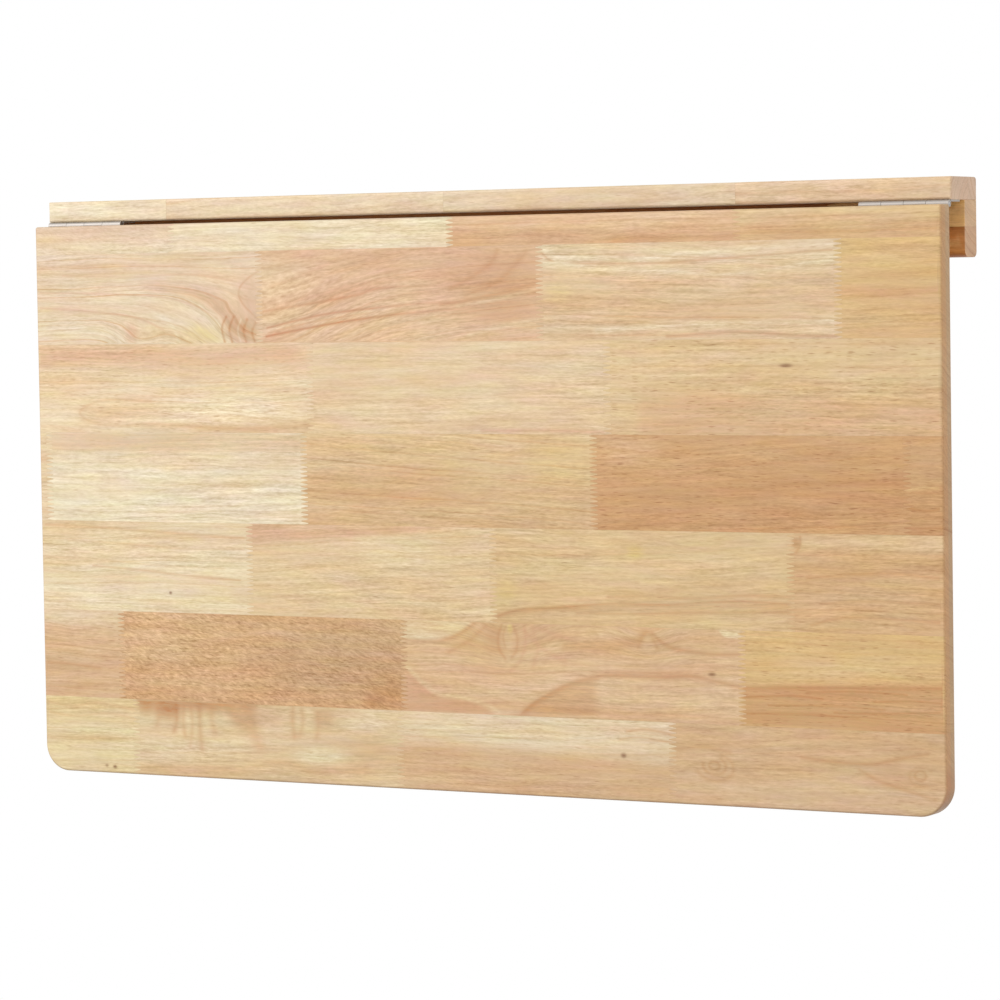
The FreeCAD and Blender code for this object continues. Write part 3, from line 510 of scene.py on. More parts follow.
class Row:
    """One row of staves along the grain, joined end to end."""

    def __init__(self, low, high, joints, staves, seed):
        rnd = random.Random(seed)
        self.low, self.high, self.joints, self.staves = low, high, list(joints), staves
        self.start = [rnd.random() for _ in self.joints]
        assert len(staves) == len(self.joints) + 1

    def joint(self, j, a):
        return self.joints[j] + FINGER / 2 * wave((a - self.low) / PITCH + self.start[j])

    def joint_line(self, j, low, high, shift=0.0):
        h = TIP / 2 / PITCH
        k0 = math.floor((low - self.low) / PITCH + self.start[j]) - 1
        k1 = math.ceil((high - self.low) / PITCH + self.start[j]) + 1
        at = [low, high]
        for k in range(k0, k1 + 1):
            for f in (h, 0.5 - h, 0.5 + h, 1.0 - h):
                v = self.low + (k + f - self.start[j]) * PITCH
                if low + 0.02 < v < high - 0.02:
                    at.append(v)
        return [(self.joint(j, v) + shift, v) for v in sorted(at)]


def build_board(name, box, axes, radii, ease, rows, material, show=-1, rings=False, grid=0.0, round_steps=5):
    """A board as one closed mesh whose faces end at the staves' joints.

    box: (low, high) along the grain, across it and through the thickness. axes: which frame axis each is.
    radii: outline corners at (low, low), (high, low), (high, high), (low, high).
    ease: for the low and the high face, the eased edge's radius on the sides g0, g1, a0, a1.
    show: -1 or 1, whether the low or the high face carries the staves' features. grid: spacing of
    the points on that face.
    """
    (g0, g1), (a0, a1), (t0, t1) = box
    rows = sorted(rows, key=lambda r: r.low)
    corners = ((g0, a0, 1, 1, 0, 2), (g1, a0, -1, 1, 1, 2), (g1, a1, -1, -1, 1, 3), (g0, a1, 1, -1, 0, 3))

    def inside(g, a, margin=0.0):
        if not (g0 + margin <= g <= g1 - margin and a0 + margin <= a <= a1 - margin):
            return False
        for (cg, ca, sg, sa, _, _), r in zip(corners, radii):
            x, y = (g - cg) * sg, (a - ca) * sa
            if x < r and y < r and (r - x) ** 2 + (r - y) ** 2 > max(r - margin, 0) ** 2:
                return False
        return True

    def outline(e, turn):
        """The outline, drawn in by an eased edge at an angle."""
        inset = 1.0 - math.sin(turn)
        points = []
        for (cg, ca, sg, sa, kg, ka), r, start in zip(corners, radii, (math.pi, 1.5 * math.pi, 0.0, 0.5 * math.pi)):
            eg, ea = e[kg], e[ka]
            steps = max(3, int(6 + r * 0.8))
            rg, ra = max(r - eg * inset, 0.0), max(r - ea * inset, 0.0)
            mg, ma = cg + sg * max(r, eg * inset), ca + sa * max(r, ea * inset)
            for i in range(steps + 1):
                th = start + i / steps * math.pi / 2
                p = (mg + rg * math.cos(th), ma + ra * math.sin(th))
                if not points or math.dist(points[-1], p) > 1e-3:
                    points.append(p)
        if math.dist(points[0], points[-1]) < 1e-3:
            points.pop()
        return points

    def profile(d, r):
        if d >= r:
            return 0.0
        u = 1.0 - max(d, 0.0) / r
        return r * (1.0 - math.sqrt(max(0.0, 1.0 - u * u)))

    def drop_at(g, a, e):
        """How far an eased face has fallen away at a point."""
        best = 0.0
        for d, r in ((g - g0, e[0]), (g1 - g, e[1]), (a - a0, e[2]), (a1 - a, e[3])):
            if d < r:
                best = max(best, profile(d, r))
        for (cg, ca, sg, sa, kg, ka), r in zip(corners, radii):
            x, y = (g - cg) * sg, (a - ca) * sa
            if x < r and y < r:
                px, py = r - x, r - y
                rho = math.hypot(px, py)
                if rho > 1e-6:
                    share = (px / rho) ** 2
                    best = max(best, profile(r - rho, e[kg] * share + e[ka] * (1 - share)))
        return best

    def glue_at(g, a):
        best = 0.0
        for i, r in enumerate(rows):
            if i and abs(a - r.low) < GLUE_ROW:
                best = max(best, 1.0 - abs(a - r.low) / GLUE_ROW)
            if r.low - 1e-6 <= a <= r.high + 1e-6:
                for j, at in enumerate(r.joints):
                    if abs(g - at) < FINGER:
                        d = abs(g - r.joint(j, a))
                        if d < GLUE_TIP:
                            best = max(best, 1.0 - d / GLUE_TIP)
        return best

    def stave_at(g, a):
        for i, r in enumerate(rows):
            if a <= r.high or i == len(rows) - 1:
                for j, at in enumerate(r.joints):
                    if g < at - FINGER or (g < at + FINGER and g < r.joint(j, min(max(a, r.low), r.high))):
                        return i, j
                return i, len(r.joints)

    def surface(e, front):
        points, edges = [], []

        def chain(line, closed=False):
            first = len(points)
            for p in line:
                points.append(Vector((p[0], p[1])))
            n = len(line)
            for i in range(n if closed else n - 1):
                edges.append((first + i, first + (i + 1) % n))

        turns = [k / round_steps * math.pi / 2 for k in range(round_steps + 1)]
        if rings:
            for turn in turns:
                chain(outline(e, turn), True)
        else:
            chain(outline(e, math.pi / 2), True)
            for both in ease:
                for k, turn in enumerate(turns[:-1]):
                    inset = 1.0 - math.sin(turn)
                    for side, r in enumerate(both):
                        if k and r < 0.3:
                            continue
                        d = r * inset
                        if side < 2:
                            x = g0 + d if side == 0 else g1 - d
                            chain([(x, a0 - 3), (x, a1 + 3)])
                        else:
                            y = a0 + d if side == 2 else a1 - d
                            chain([(g0 - 3, y), (g1 + 3, y)])
        for i, r in enumerate(rows):
            if i:
                for off in (-GLUE_ROW, 0.0, GLUE_ROW):
                    chain([(g0 - 3, r.low + off), (g1 + 3, r.low + off)])
            low = a0 - 1.0 if i == 0 else r.low
            high = a1 + 1.0 if i == len(rows) - 1 else r.high
            for j in range(len(r.joints)):
                for off in (-GLUE_TIP, 0.0, GLUE_TIP):
                    chain(r.joint_line(j, low, high, off))
        if front and grid:
            y, odd = a0 + grid, 0
            while y < a1:
                x = g0 + grid * (1.0 if odd else 0.5)
                while x < g1:
                    if inside(x, y, 3.0):
                        points.append(Vector((x, y)))
                    x += grid
                y, odd = y + grid * 0.866, 1 - odd
            for r in rows:
                for j, s in enumerate(r.staves):
                    low = r.joints[j - 1] - FINGER if j else g0
                    high = r.joints[j] + FINGER if j < len(r.joints) else g1
                    for f in s.look:
                        for x, y in f.points():
                            if low < x < high and r.low < y < r.high and inside(x, y, 3.0):
                                points.append(Vector((x, y)))
                        for line in f.lines() if hasattr(f, "lines") else ():
                            run = []
                            for x, y in line:
                                if low < x < high and r.low - 1 < y < r.high + 1 and inside(x, y, 3.0):
                                    run.append((x, y))
                                else:
                                    if len(run) > 1:
                                        chain(run)
                                    run = []
                            if len(run) > 1:
                                chain(run)
        co, _, faces, *_ = delaunay_2d_cdt(points, edges, [], 0, 1e-3)
        keep = []
        for f in faces:
            x = sum(co[i].x for i in f) / len(f)
            y = sum(co[i].y for i in f) / len(f)
            if inside(x, y):
                keep.append(tuple(f))
        used = sorted({i for f in keep for i in f})
        most = max(e) + 0.01
        big = max(radii)
        drops = {}
        for i in used:
            x, y = co[i].x, co[i].y
            near_side = min(x - g0, g1 - x, y - a0, a1 - y) < most
            near_corner = min(x - g0, g1 - x) < big and min(y - a0, a1 - y) < big
            drops[i] = drop_at(x, y, e) if near_side or near_corner else 0.0
        return {i: (co[i].x, co[i].y) for i in used}, keep, drops

    verts, faces, where = [], [], []  # where: a point that says which stave a face is in
    rim = []
    for face, (e, t, way) in enumerate(((ease[0], t0, 1), (ease[1], t1, -1))):
        co, tris, drops = surface(e, face == (show > 0))
        index = {}
        for i, (x, y) in co.items():
            index[i] = len(verts)
            verts.append((x, y, t + way * drops[i]))
        count = {}
        for f in tris:
            n = [index[i] for i in f]
            faces.append(tuple(n if face else reversed(n)))
            where.append((sum(co[i][0] for i in f) / len(f), sum(co[i][1] for i in f) / len(f)))
            for i, j in zip(f, f[1:] + f[:1]):
                key = (min(i, j), max(i, j))
                count[key] = count.get(key, 0) + 1
        rim.append(
            {
                (round(co[i][0], 2), round(co[i][1], 2)): index[i]
                for key, c in count.items()
                if c == 1
                for i in key
            }
        )
        if face == 0:
            loop_edges = [k for k, c in count.items() if c == 1]
            loop_co = co
    if set(rim[0]) != set(rim[1]):
        raise SystemExit("%s: the two faces' outlines differ: %s" % (name, sorted(set(rim[0]) ^ set(rim[1]))[:8]))
    for i, j in loop_edges:
        ki = (round(loop_co[i][0], 2), round(loop_co[i][1], 2))
        kj = (round(loop_co[j][0], 2), round(loop_co[j][1], 2))
        faces.append((rim[0][ki], rim[0][kj], rim[1][kj], rim[1][ki]))
        m = ((ki[0] + kj[0]) / 2, (ki[1] + kj[1]) / 2)
        where.append(
            (
                m[0] + (0.4 if m[0] < g0 + 1 else -0.4 if m[0] > g1 - 1 else 0),
                m[1] + (0.4 if m[1] < a0 + 1 else -0.4 if m[1] > a1 - 1 else 0),
            )
        )

    mesh = bpy.data.meshes.new(name)
    place = np.zeros((len(verts), 3))
    local = np.array(verts)
    for k, axis in enumerate(axes):
        place[:, "xyz".index(axis)] = local[:, k] * MM
    mesh.from_pydata(place.tolist(), [], faces)
    staves = [(i, j) for i, r in enumerate(rows) for j in range(len(r.staves))]
    number = {s: n for n, s in enumerate(staves)}
    ids = mesh.attributes.new("stave", "INT", "FACE")
    ids.data.foreach_set("value", [number[stave_at(*w)] for w in where])
    bm = bmesh.new()
    bm.from_mesh(mesh)
    bmesh.ops.recalc_face_normals(bm, faces=bm.faces)
    bm.to_mesh(mesh)
    bm.free()
    obj = bpy.data.objects.new(name, mesh)
    bpy.context.scene.collection.objects.link(obj)
    mesh.materials.append(material)
    return obj, dict(
        rows=rows, box=box, axes=axes, staves=staves, stave_at=stave_at, glue_at=glue_at, show=show
    )


def finish_board(obj, info, seed, end_tone, back_shade_and_red_corners=0.0):
    """Write what the wood material reads, once the mesh is final, and smooth the eased edges."""
    mesh, rows = obj.data, info["rows"]
    n, nf, nl = len(mesh.vertices), len(mesh.polygons), len(mesh.loops)
    co = np.zeros(n * 3)
    mesh.vertices.foreach_get("co", co)
    co = co.reshape(-1, 3) / MM
    pick = ["xyz".index(a) for a in info["axes"]]
    local = co[:, pick]
    (g0, g1), (a0, a1), (t0, t1) = info["box"]
    middle = local - np.array([0, 0, (t0 + t1) / 2])

    def write(name, kind, domain, values):
        at = mesh.attributes.get(name) or mesh.attributes.new(name, kind, domain)
        key = {"FLOAT": "value", "FLOAT_VECTOR": "vector", "FLOAT_COLOR": "color"}[kind]
        at.data.foreach_set(key, np.asarray(values, np.float32).ravel())

    write("wood_p", "FLOAT_VECTOR", "POINT", middle)
    write("glue", "FLOAT", "POINT", [info["glue_at"](p[0], p[1]) for p in local])

    # which stave each face is in, also for faces that a cut has made
    centre, normal = np.zeros(nf * 3), np.zeros(nf * 3)
    mesh.polygons.foreach_get("center", centre)
    mesh.polygons.foreach_get("normal", normal)
    normal = normal.reshape(-1, 3)[:, pick]
    centre = centre.reshape(-1, 3)[:, pick] / MM
    ids = np.zeros(nf, int)
    mesh.attributes["stave"].data.foreach_get("value", ids)
    number = {s: k for k, s in enumerate(info["staves"])}
    for f in np.nonzero(ids < 0)[0]:
        g, a = centre[f][:2] - 0.3 * normal[f][:2]
        ids[f] = number[info["stave_at"](g, a)]
    mesh.attributes["stave"].data.foreach_set("value", ids)

    rnd = random.Random(seed)
    table = {k: [] for k in ("base", "two", "a", "b", "fig", "split", "cell")}
    for i, j in info["staves"]:
        r = rows[i]
        s = r.staves[j]
        left = r.joints[j - 1] if j else g0
        right = r.joints[j] if j < len(r.joints) else g1
        table["base"].append((*s.base, 1.0))
        table["two"].append((*s.two, s.share))
        table["a"].append((s.pith[0], s.pith[1], rnd.uniform(1.0, 60.0)))
        table["b"].append((s.tilt[0], s.tilt[1], s.ring))
        table["fig"].append((s.line, s.pore, s.curl))
        table["split"].append(s.split_at)
        table["cell"].append(((left + right) / 2, (r.low + r.high) / 2, s.band))
    for name, key, kind in (
        ("wood_base", "base", "FLOAT_COLOR"),
        ("wood_two", "two", "FLOAT_COLOR"),
        ("log_a", "a", "FLOAT_VECTOR"),
        ("log_b", "b", "FLOAT_VECTOR"),
        ("figure", "fig", "FLOAT_VECTOR"),
        ("split", "split", "FLOAT_VECTOR"),
        ("cell", "cell", "FLOAT_VECTOR"),
    ):
        write(name, kind, "FACE", np.array(table[key])[ids])
    # the alpha turns on the leaf ends' painted back shade and their red lower corners
    write("end_tone", "FLOAT_COLOR", "FACE", np.tile((*lit(end_tone), back_shade_and_red_corners), (nf, 1)))

    # the staves' own features, on the face that is seen
    loop_vert, starts, totals = np.zeros(nl, int), np.zeros(nf, int), np.zeros(nf, int)
    mesh.loops.foreach_get("vertex_index", loop_vert)
    mesh.polygons.foreach_get("loop_start", starts)
    mesh.polygons.foreach_get("loop_total", totals)
    loop_face = np.repeat(np.arange(nf), totals)
    seen = t0 if info["show"] < 0 else t1
    front = (normal[:, 2] * info["show"] > 0.2) & (np.abs(centre[:, 2] - seen) < 6.5)
    lift, stain = np.zeros(nl), np.zeros((nl, 4))
    for k, (i, j) in enumerate(info["staves"]):
        look = rows[i].staves[j].look
        if not look:
            continue
        m = np.nonzero((ids[loop_face] == k) & front[loop_face])[0]
        g, a = local[loop_vert[m], 0], local[loop_vert[m], 1]
        up = np.zeros(len(m))
        for f in look:
            if isinstance(f, Bend):
                up += f.lift(g, a)
        lift[m] = up
        colour, share = np.zeros((len(m), 3)), np.zeros(len(m))
        for f in look:
            if not isinstance(f, Bend):
                w = np.clip(f.share(g, a, a + up), 0, 1)
                tone = np.array(lit(TONES[f.tone], rows[i].staves[j].shade))
                total = w + share * (1 - w)
                safe = np.maximum(total, 1e-6)
                colour = (tone * w[:, None] + colour * (share * (1 - w))[:, None]) / safe[:, None]
                share = total
        stain[m, :3], stain[m, 3] = colour, share
    write("lift", "FLOAT", "CORNER", lift)
    write("stain", "FLOAT_COLOR", "CORNER", stain)

    # normals: flat faces stay flat, eased edges turn smoothly into them
    mesh.shade_smooth()
    bm = bmesh.new()
    bm.from_mesh(mesh)
    for e in bm.edges:
        if len(e.link_faces) == 2:
            e.smooth = e.calc_face_angle(0.0) < math.radians(32)
    bm.to_mesh(mesh)
    bm.free()
    obj.data.update()
    w = obj.modifiers.new("flat_faces", "WEIGHTED_NORMAL")
    w.mode, w.weight, w.keep_sharp = "FACE_AREA", 100, True
    mesh = apply_modifiers(obj)

    # end grain, eased edges and painted shade under the boards, by the direction that each corner faces
    nor = np.zeros(len(mesh.loops) * 3)
    mesh.corner_normals.foreach_get("vector", nor)
    nor = nor.reshape(-1, 3)[:, pick]
    write("end_grain", "FLOAT", "CORNER", np.clip(nor[:, 0] ** 2, 0, 1))
    most = np.abs(nor).max(1)
    write("edge", "FLOAT", "CORNER", np.clip((0.995 - most) / 0.25, 0, 1))
    # painted shade: on the leaf and the cleat, faces that turn downwards get a darkening mask
    write("painted_under_shade", "FLOAT", "CORNER", np.clip(-1.5 * nor[:, 1] - 0.1, 0, 0.9) if info["axes"][1] == "z" else np.zeros(len(nor)))


def apply_modifiers(obj):
    bpy.context.view_layer.update()
    dg = bpy.context.evaluated_depsgraph_get()
    made = bpy.data.meshes.new_from_object(obj.evaluated_get(dg), depsgraph=dg)
    obj.modifiers.clear()
    old = obj.data
    obj.data = made
    made.name = obj.name
    bpy.data.meshes.remove(old)
    return made


def bore(obj, cutters):
    """Cut holes. Faces that the cut makes have no stave yet."""
    for c in cutters:
        at = c.data.attributes.new("stave", "INT", "FACE")
        at.data.foreach_set("value", [-1] * len(c.data.polygons))
        m = obj.modifiers.new("hole", "BOOLEAN")
        m.operation, m.solver, m.object = "DIFFERENCE", "EXACT", c
    apply_modifiers(obj)
    for c in cutters:
        bpy.data.objects.remove(c)


def turned_cutter(name, at, axis, profile, sides=40):
    """A solid of revolution: profile is (distance along the axis, radius) from its start point, in mm."""
    bm = bmesh.new()
    axis = Vector(axis).normalized()
    u = axis.orthogonal().normalized()
    v = axis.cross(u)
    rings = []
    for d, r in profile:
        rings.append(
            [
                bm.verts.new(
                    (
                        Vector(at)
                        + axis * d
                        + (u * math.cos(2 * math.pi * i / sides) + v * math.sin(2 * math.pi * i / sides)) * r
                    )
                    * MM
                )
                for i in range(sides)
            ]
        )
    for p, q in zip(rings, rings[1:]):
        for i in range(sides):
            bm.faces.new((p[i], p[(i + 1) % sides], q[(i + 1) % sides], q[i]))
    bm.faces.new(list(reversed(rings[0])))
    bm.faces.new(rings[-1])
    bmesh.ops.recalc_face_normals(bm, faces=bm.faces)
    mesh = bpy.data.meshes.new(name)
    bm.to_mesh(mesh)
    bm.free()
    obj = bpy.data.objects.new(name, mesh)
    bpy.context.scene.collection.objects.link(obj)
    return obj


wood = rubberwood()
S = Stave


def mm_box(node):
    lo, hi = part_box(node)
    return [(lo[k] / MM, hi[k] / MM) for k in range(3)]


# the leaf: seven rows of staves, told from its left edge and from its hinge edge
(lx0, lx1), (ly0, ly1), (lz0, lz1) = mm_box("drop_leaf")


def leaf_row(top, foot, joints, staves, seed):
    return Row(lz1 - foot, lz1 - top, [lx0 + x for x in joints], staves, seed)


def oval(x, down, half_x, half_z, turn=0.0, start=0.0, sweep=360.0):
    """Points round an ellipse, for a stroke."""
    n = max(6, int(abs(sweep) / 24))
    out = []
    for i in range(n + 1):
        th = math.radians(start + sweep * i / n)
        u, v = half_x * math.cos(th), half_z * math.sin(th)
        out.append((x + u * math.cos(turn) - v * math.sin(turn), down + u * math.sin(turn) + v * math.cos(turn)))
    return out


leaf_rows = [
    leaf_row(-5, 26, (150, 440, 716), [
        S("pale", "pink", 0.45, (0, 0, 12), pith=(30, 30), ring=5, line=0.35, curl=0.30, band=0.6,
          warm=-0.05),
        S("cream", "honey", 0.3, (0, 0, -12), pith=(70, 20), ring=4, line=0.30, band=0.4,
          look=[Stroke([(345, 24.5), (400, 23.5), (436, 24)], 1.6, "cream", 0.7)]),
        S("tan", "brown", 0.70, (-6, -0.03, -5), pith=(60, 30), ring=5, line=0.35, band=0.5, light=1.08, warm=-0.03,
          look=[Stroke([(600, 24.5), (650, 22.5), (716, 21)], 2.8, "rust", 0.26)]),
        S("honey", "tan", 0.8, (-3, 0, -6), pith=(80, 20), ring=5, line=0.45, band=0.6, warm=0.16, look=[
            Band(20, 3.2, "brown", 0.50, 715, 960), Band(8, 3.0, "pink", 0.35, 715, 860)]),
    ], 11),
    leaf_row(26, 108, (243, 528, 808), [
        S("pale", "pink", 0.14, (6, 0, 16), pith=(-70, 16), tilt=(0.02, 0.02), ring=3.6, line=0.95,
          pore=0.5, band=0.8, warm=-0.03, look=[
              Bend(245, 112, 85, 52, 50),
              Bend(112, 112, 30, 22, 16),
              Band(52, 4.5, "pink", 0.55, 110, 245),
              Spot(232, 70, 14, 26, "pink", 0.40),
              Stroke([(247, 42), (232, 50), (222, 60), (225, 72), (243, 88)], 1.0, "umber", 0.32),
              Stroke([(60, 68), (100, 71), (130, 79), (150, 92), (157, 107)], 1.6, "cream", 0.60),
              Stroke([(100, 60), (150, 66), (185, 77), (200, 92), (203, 107)], 1.4, "cream", 0.40),
              Spot(182, 100, 26, 9, "lemon", 0.6),
              Spot(226, 97, 21, 12, "brown", 0.60),
              Spot(105, 99, 7, 9, "pink", 0.55),
              Stroke([(208, 84), (203, 94), (206, 107)], 1.2, "umber", 0.56),
              Stroke([(216, 84), (211, 95), (214, 107)], 1.3, "umber", 0.60),
              Stroke([(224, 86), (220, 96), (223, 107)], 0.9, "cream", 0.45),
              Stroke([(230, 87), (226, 97), (229, 107)], 1.3, "umber", 0.58),
              Stroke([(239, 90), (235, 98), (238, 107)], 1.2, "umber", 0.52),
              Stroke([(4, 74), (60, 78), (110, 84), (140, 95)], 0.9, "pink", 0.45),
              Stroke([(4, 60), (70, 62), (140, 66), (180, 76), (198, 86)], 0.9, "pink", 0.45),
              Stroke([(30, 45), (100, 47), (170, 46), (215, 52)], 0.9, "pink", 0.36),
              Stroke([(4, 38), (80, 36), (160, 38), (225, 37)], 0.9, "tan", 0.40),
          ]),
        S("rose", "pink", 0.42, (2, -0.05, 18), pith=(-105, 10), tilt=(0.06, 0), ring=4.5, line=0.52,
          band=0.6, warm=0.11, look=[
              Bend(245, 112, 110, 60, 42),
              Spot(246, 61, 58, 50, "pale", 0.48),
              Spot(470, 62, 56, 34, "pink", 0.36),
              Spot(333, 65, 40, 7, "pink", 0.50, 0.22),
              Spot(270, 100, 24, 8, "pink", 0.50, 0.3),
              Spot(497, 66, 40, 38, "brown", 0.42),
              Stroke([(250, 102), (294, 95), (333, 89.5), (374, 85), (426, 81), (470, 80)], 1.2, "red", 0.60, (350, 470)),
              Stroke([(251, 94.5), (308, 83.5), (359, 78.5), (410, 74.5), (446, 74), (480, 68.5)], 1.1, "red", 0.48, (350, 480)),
              Stroke([(247, 80), (308, 72), (346, 66.5), (364, 61.5), (405, 59.5), (460, 61)], 1.2, "red", 0.36, (360, 460)),
              Stroke([(252, 99), (290, 91), (330, 85.5), (370, 81), (440, 77)], 0.8, "umber", 0.34, (340, 440)),
              Stroke([(262, 76), (300, 67), (340, 58), (400, 52), (470, 50)], 1.6, "pink", 0.30, (380, 470)),
              Stroke([(256, 96), (300, 88), (350, 82), (420, 78), (450, 77)], 1.2, "pale", 0.35, (390, 450)),
              Stroke([(255, 58), (290, 48), (320, 37), (340, 28)], 1.8, "pink", 0.36),
              Stroke([(440, 62), (462, 52), (480, 41), (488, 29)], 2.4, "umber", 0.28),
              Stroke([(455, 68), (485, 58), (503, 44), (516, 31)], 2.6, "umber", 0.24),
              Stroke([(430, 76), (450, 73.5), (487, 67), (527, 58)], 2.0, "umber", 0.27),
              Stroke([(446, 78), (487, 71.5), (527, 63)], 1.6, "pale", 0.35),
              Stroke([(457, 103), (490, 95), (527, 90)], 2.2, "pale", 0.60),
          ]),
        S("honey", "cream", 0.2, (10, 0.02, 10), pith=(120, 20), tilt=(-0.03, 0), ring=6, line=0.45,
          band=0.8, light=1.02, look=[
              Fill([(528, 46), (583, 53), (650, 57), (720, 58), (808, 50)], -1, "tan", 0.45, 7, 52),
              Stroke([(528, 28), (550, 37), (583, 39), (617, 40), (637, 39), (683, 36), (733, 33), (803, 30)],
                     2.1, "cream", 0.62),
              Stroke([(530, 33), (550, 41.5), (637, 43.5), (683, 41.5), (803, 35)], 0.9, "umber", 0.38),
              Stroke([(543, 40), (583, 47), (650, 50), (683, 53), (717, 53), (750, 50), (803, 43)],
                     1.9, "cream", 0.52),
              Stroke([(583, 100), (633, 97), (683, 95), (803, 93)], 2.6, "cream", 0.46),
              Stroke([(650, 105), (717, 102), (767, 105), (806, 106)], 1.7, "red", 0.38),
              Spot(546, 68, 14, 8, "lemon", 0.6),
          ]),
        S("gold", "tan", 0.25, (-4, 0.1, -14), pith=(50, 30), tilt=(0.05, 0), ring=5, line=0.4, band=0.5,
          warm=0.11, look=[
              Band(70, 4.5, "pink", 0.45, 790, 960),
              Fill([(808, 76), (850, 74), (902, 73)], -1, "tan", 0.40, 5, 36),
              Spot(850, 88, 48, 10, "gold", 0.5),
              Spot(852, 104, 60, 5, "tan", 0.45),
          ]),
    ], 12),
    leaf_row(108, 188, (295, 592), [
        S("pale", "tan", 0.30, (8, 0.02, 10), pith=(-40, 12), tilt=(0.02, 0.03), ring=4.5, line=0.42,
          band=0.8, pore=1.0, light=1.04, warm=0.04, look=[
              Band(119, 9, "pink", 0.55, -40, 300),
              Spot(206, 169, 92, 11.5, "cream", 0.85),
              Spot(95, 170, 50, 9.5, "tan", 0.55),
              Stroke([(125, 159), (90, 158), (62, 161), (46, 170), (60, 179), (90, 182), (125, 180),
                      (160, 182), (210, 184), (260, 183), (294, 181)], 1.5, "umber", 0.26),
              Stroke([(30, 150), (90, 147), (160, 149), (230, 146), (294, 149)], 1.4, "tan", 0.30),
              Band(184, 3.5, "tan", 0.40, 100, 300),
          ]),
        S("honey", "pale", 0.3, (0, 0, 24), pith=(140, 60), tilt=(0.01, 0), ring=9, line=0.18, pore=0.35,
          band=0.3, light=1.03, look=[
              Stroke([(470, 185), (530, 184.5), (588, 186)], 1.4, "pink", 0.55),
          ]),
        S("honey", "tan", 0.3, (-6, 0.03, -22), pith=(110, 60), ring=6, line=0.25, pore=1.2, band=0.4,
          warm=0.14, look=[
              Spot(602, 138, 36, 34, "pale", 0.45),
              Fill([(622, 152), (680, 153), (760, 157), (902, 163)], -1, "pink", 0.36, 12, 60),
              Spot(760, 130, 6, 1.7, "bark", 0.75),
          ]),
    ], 13),
    leaf_row(188, 269, (11, 287, 578, 868), [
        S("pale", pith=(60, 20), line=0.4, warm=0.04),
        S("cream", "pale", 0.4, (14, 0.0, 14), pith=(100, 30), ring=5, line=0.25, pore=0.5, band=0.35,
          look=[Fill([(11, 203), (120, 206), (287, 204)], 1, "tan", 0.50, 7, 40)]),
        S("honey", "brown", 0.40, (2, -0.01, -16), pith=(90, 30), tilt=(-0.06, 0), ring=5, line=0.5,
          band=0.8, pore=0.8, warm=0.12, look=[
              Spot(375, 199, 78, 10, "gold", 0.40),
              Band(225, 9, "brown", 0.42, 270, 480, 60),
              Band(246, 5, "tan", 0.45, 280, 560, 60),
              Spot(548, 212, 32, 22, "lemon", 0.40),
          ]),
        S("brown", "tan", 0.35, (10, 0.05, 16), pith=(75, 26), tilt=(0.05, 0.02), ring=5, line=0.40,
          pore=1.3, band=0.5, warm=0.15, look=[Spot(612, 200, 30, 11, "rose", 0.45)]),
        S("brown", "tan", 0.4, (0, 0, 14), pith=(60, 30), ring=6, line=0.45, pore=1.2, curl=0.12,
          warm=0.16, light=0.98, look=[
              Stroke([(868, 232), (885, 230), (902, 231)], 1.4, "gold", 0.6),
              Stroke([(868, 247), (885, 249), (902, 246)], 1.2, "umber", 0.5)]),
    ], 14),
    leaf_row(269, 351, (228, 478, 762), [
        S("pale", "honey", 0.4, (6, 0, 14), pith=(110, 30), tilt=(0.01, 0), ring=4.5, line=0.42, band=0.7,
          light=1.03, yellow=0.025, look=[
              Stroke([(4, 273), (70, 275), (150, 279), (222, 282)], 1.2, "tan", 0.70),
              Stroke([(30, 287), (90, 289), (160, 293), (222, 292)], 1.0, "tan", 0.50),
              Stroke([(57, 310), (110, 313), (160, 317), (217, 320)], 1.0, "umber", 0.34),
              Stroke([(4, 303), (60, 304), (120, 308), (200, 310)], 1.0, "tan", 0.45),
              Spot(187, 339, 38, 10, "cream", 0.50),
              Spot(142, 333, 1.8, 1.5, "bark", 0.7),
          ]),
        S("honey", "pink", 0.35, (31, 0.07, 3), pith=(130, 30), tilt=(0.05, 0), ring=7, line=0.3,
          band=0.5, light=1.01, warm=0.06, yellow=0.01, look=[
              Stroke([(226, 279), (280, 280), (333, 279)], 7.0, "pink", 0.62),
              Stroke([(333, 276), (365, 273), (400, 271)], 3.5, "pink", 0.45),
              Spot(375, 290, 76, 11, "cream", 0.50),
          ]),
        S("honey", "pale", 0.3, (10, 0, 20), pith=(-105, 20), tilt=(0.045, 0), ring=6, line=0.42,
          band=0.5, light=0.97, warm=0.18, look=[
              Spot(617, 287, 8, 6, "lemon", 0.7),
              Spot(491, 322, 10, 10, "lemon", 0.5),
              Stroke([(480, 346), (500, 342), (533, 338), (600, 335), (680, 332), (760, 330)], 3.0, "brown", 0.45),
              Stroke([(482, 345), (505, 339), (540, 336.5), (590, 332), (650, 331), (712, 327), (762, 328)],
                     1.3, "rust", 0.36),
              Stroke([(590, 326), (630, 324.5), (672, 325.5), (715, 322), (762, 322)], 1.6, "umber", 0.30),
              Stroke([(560, 341), (620, 339.5), (680, 337), (760, 335)], 1.2, "umber", 0.34),
              Stroke([(560, 330), (640, 327), (720, 323), (760, 322)], 1.2, "tan", 0.40),
          ]),
        S("tan", "pale", 0.4, (28, -0.02, 7), pith=(60, 30), tilt=(-0.02, 0.02), ring=5, line=0.45,
          band=0.6, pore=0.7, light=0.98, warm=0.15, look=[
              Stroke([(780, 345), (815, 338), (898, 340)], 1.4, "umber", 0.32),
              Stroke([(778, 306), (820, 302), (860, 301), (898, 304)], 1.4, "umber", 0.32),
              Stroke([(790, 327), (830, 324), (898, 325)], 1.2, "umber", 0.26),
              Spot(767, 277, 4.5, 4.5, "umber", 0.55),
              Stroke([(771, 271), (771, 279), (767, 285)], 1.2, "umber", 0.35),
          ]),
    ], 15),
    leaf_row(351, 431, (87, 387, 716), [
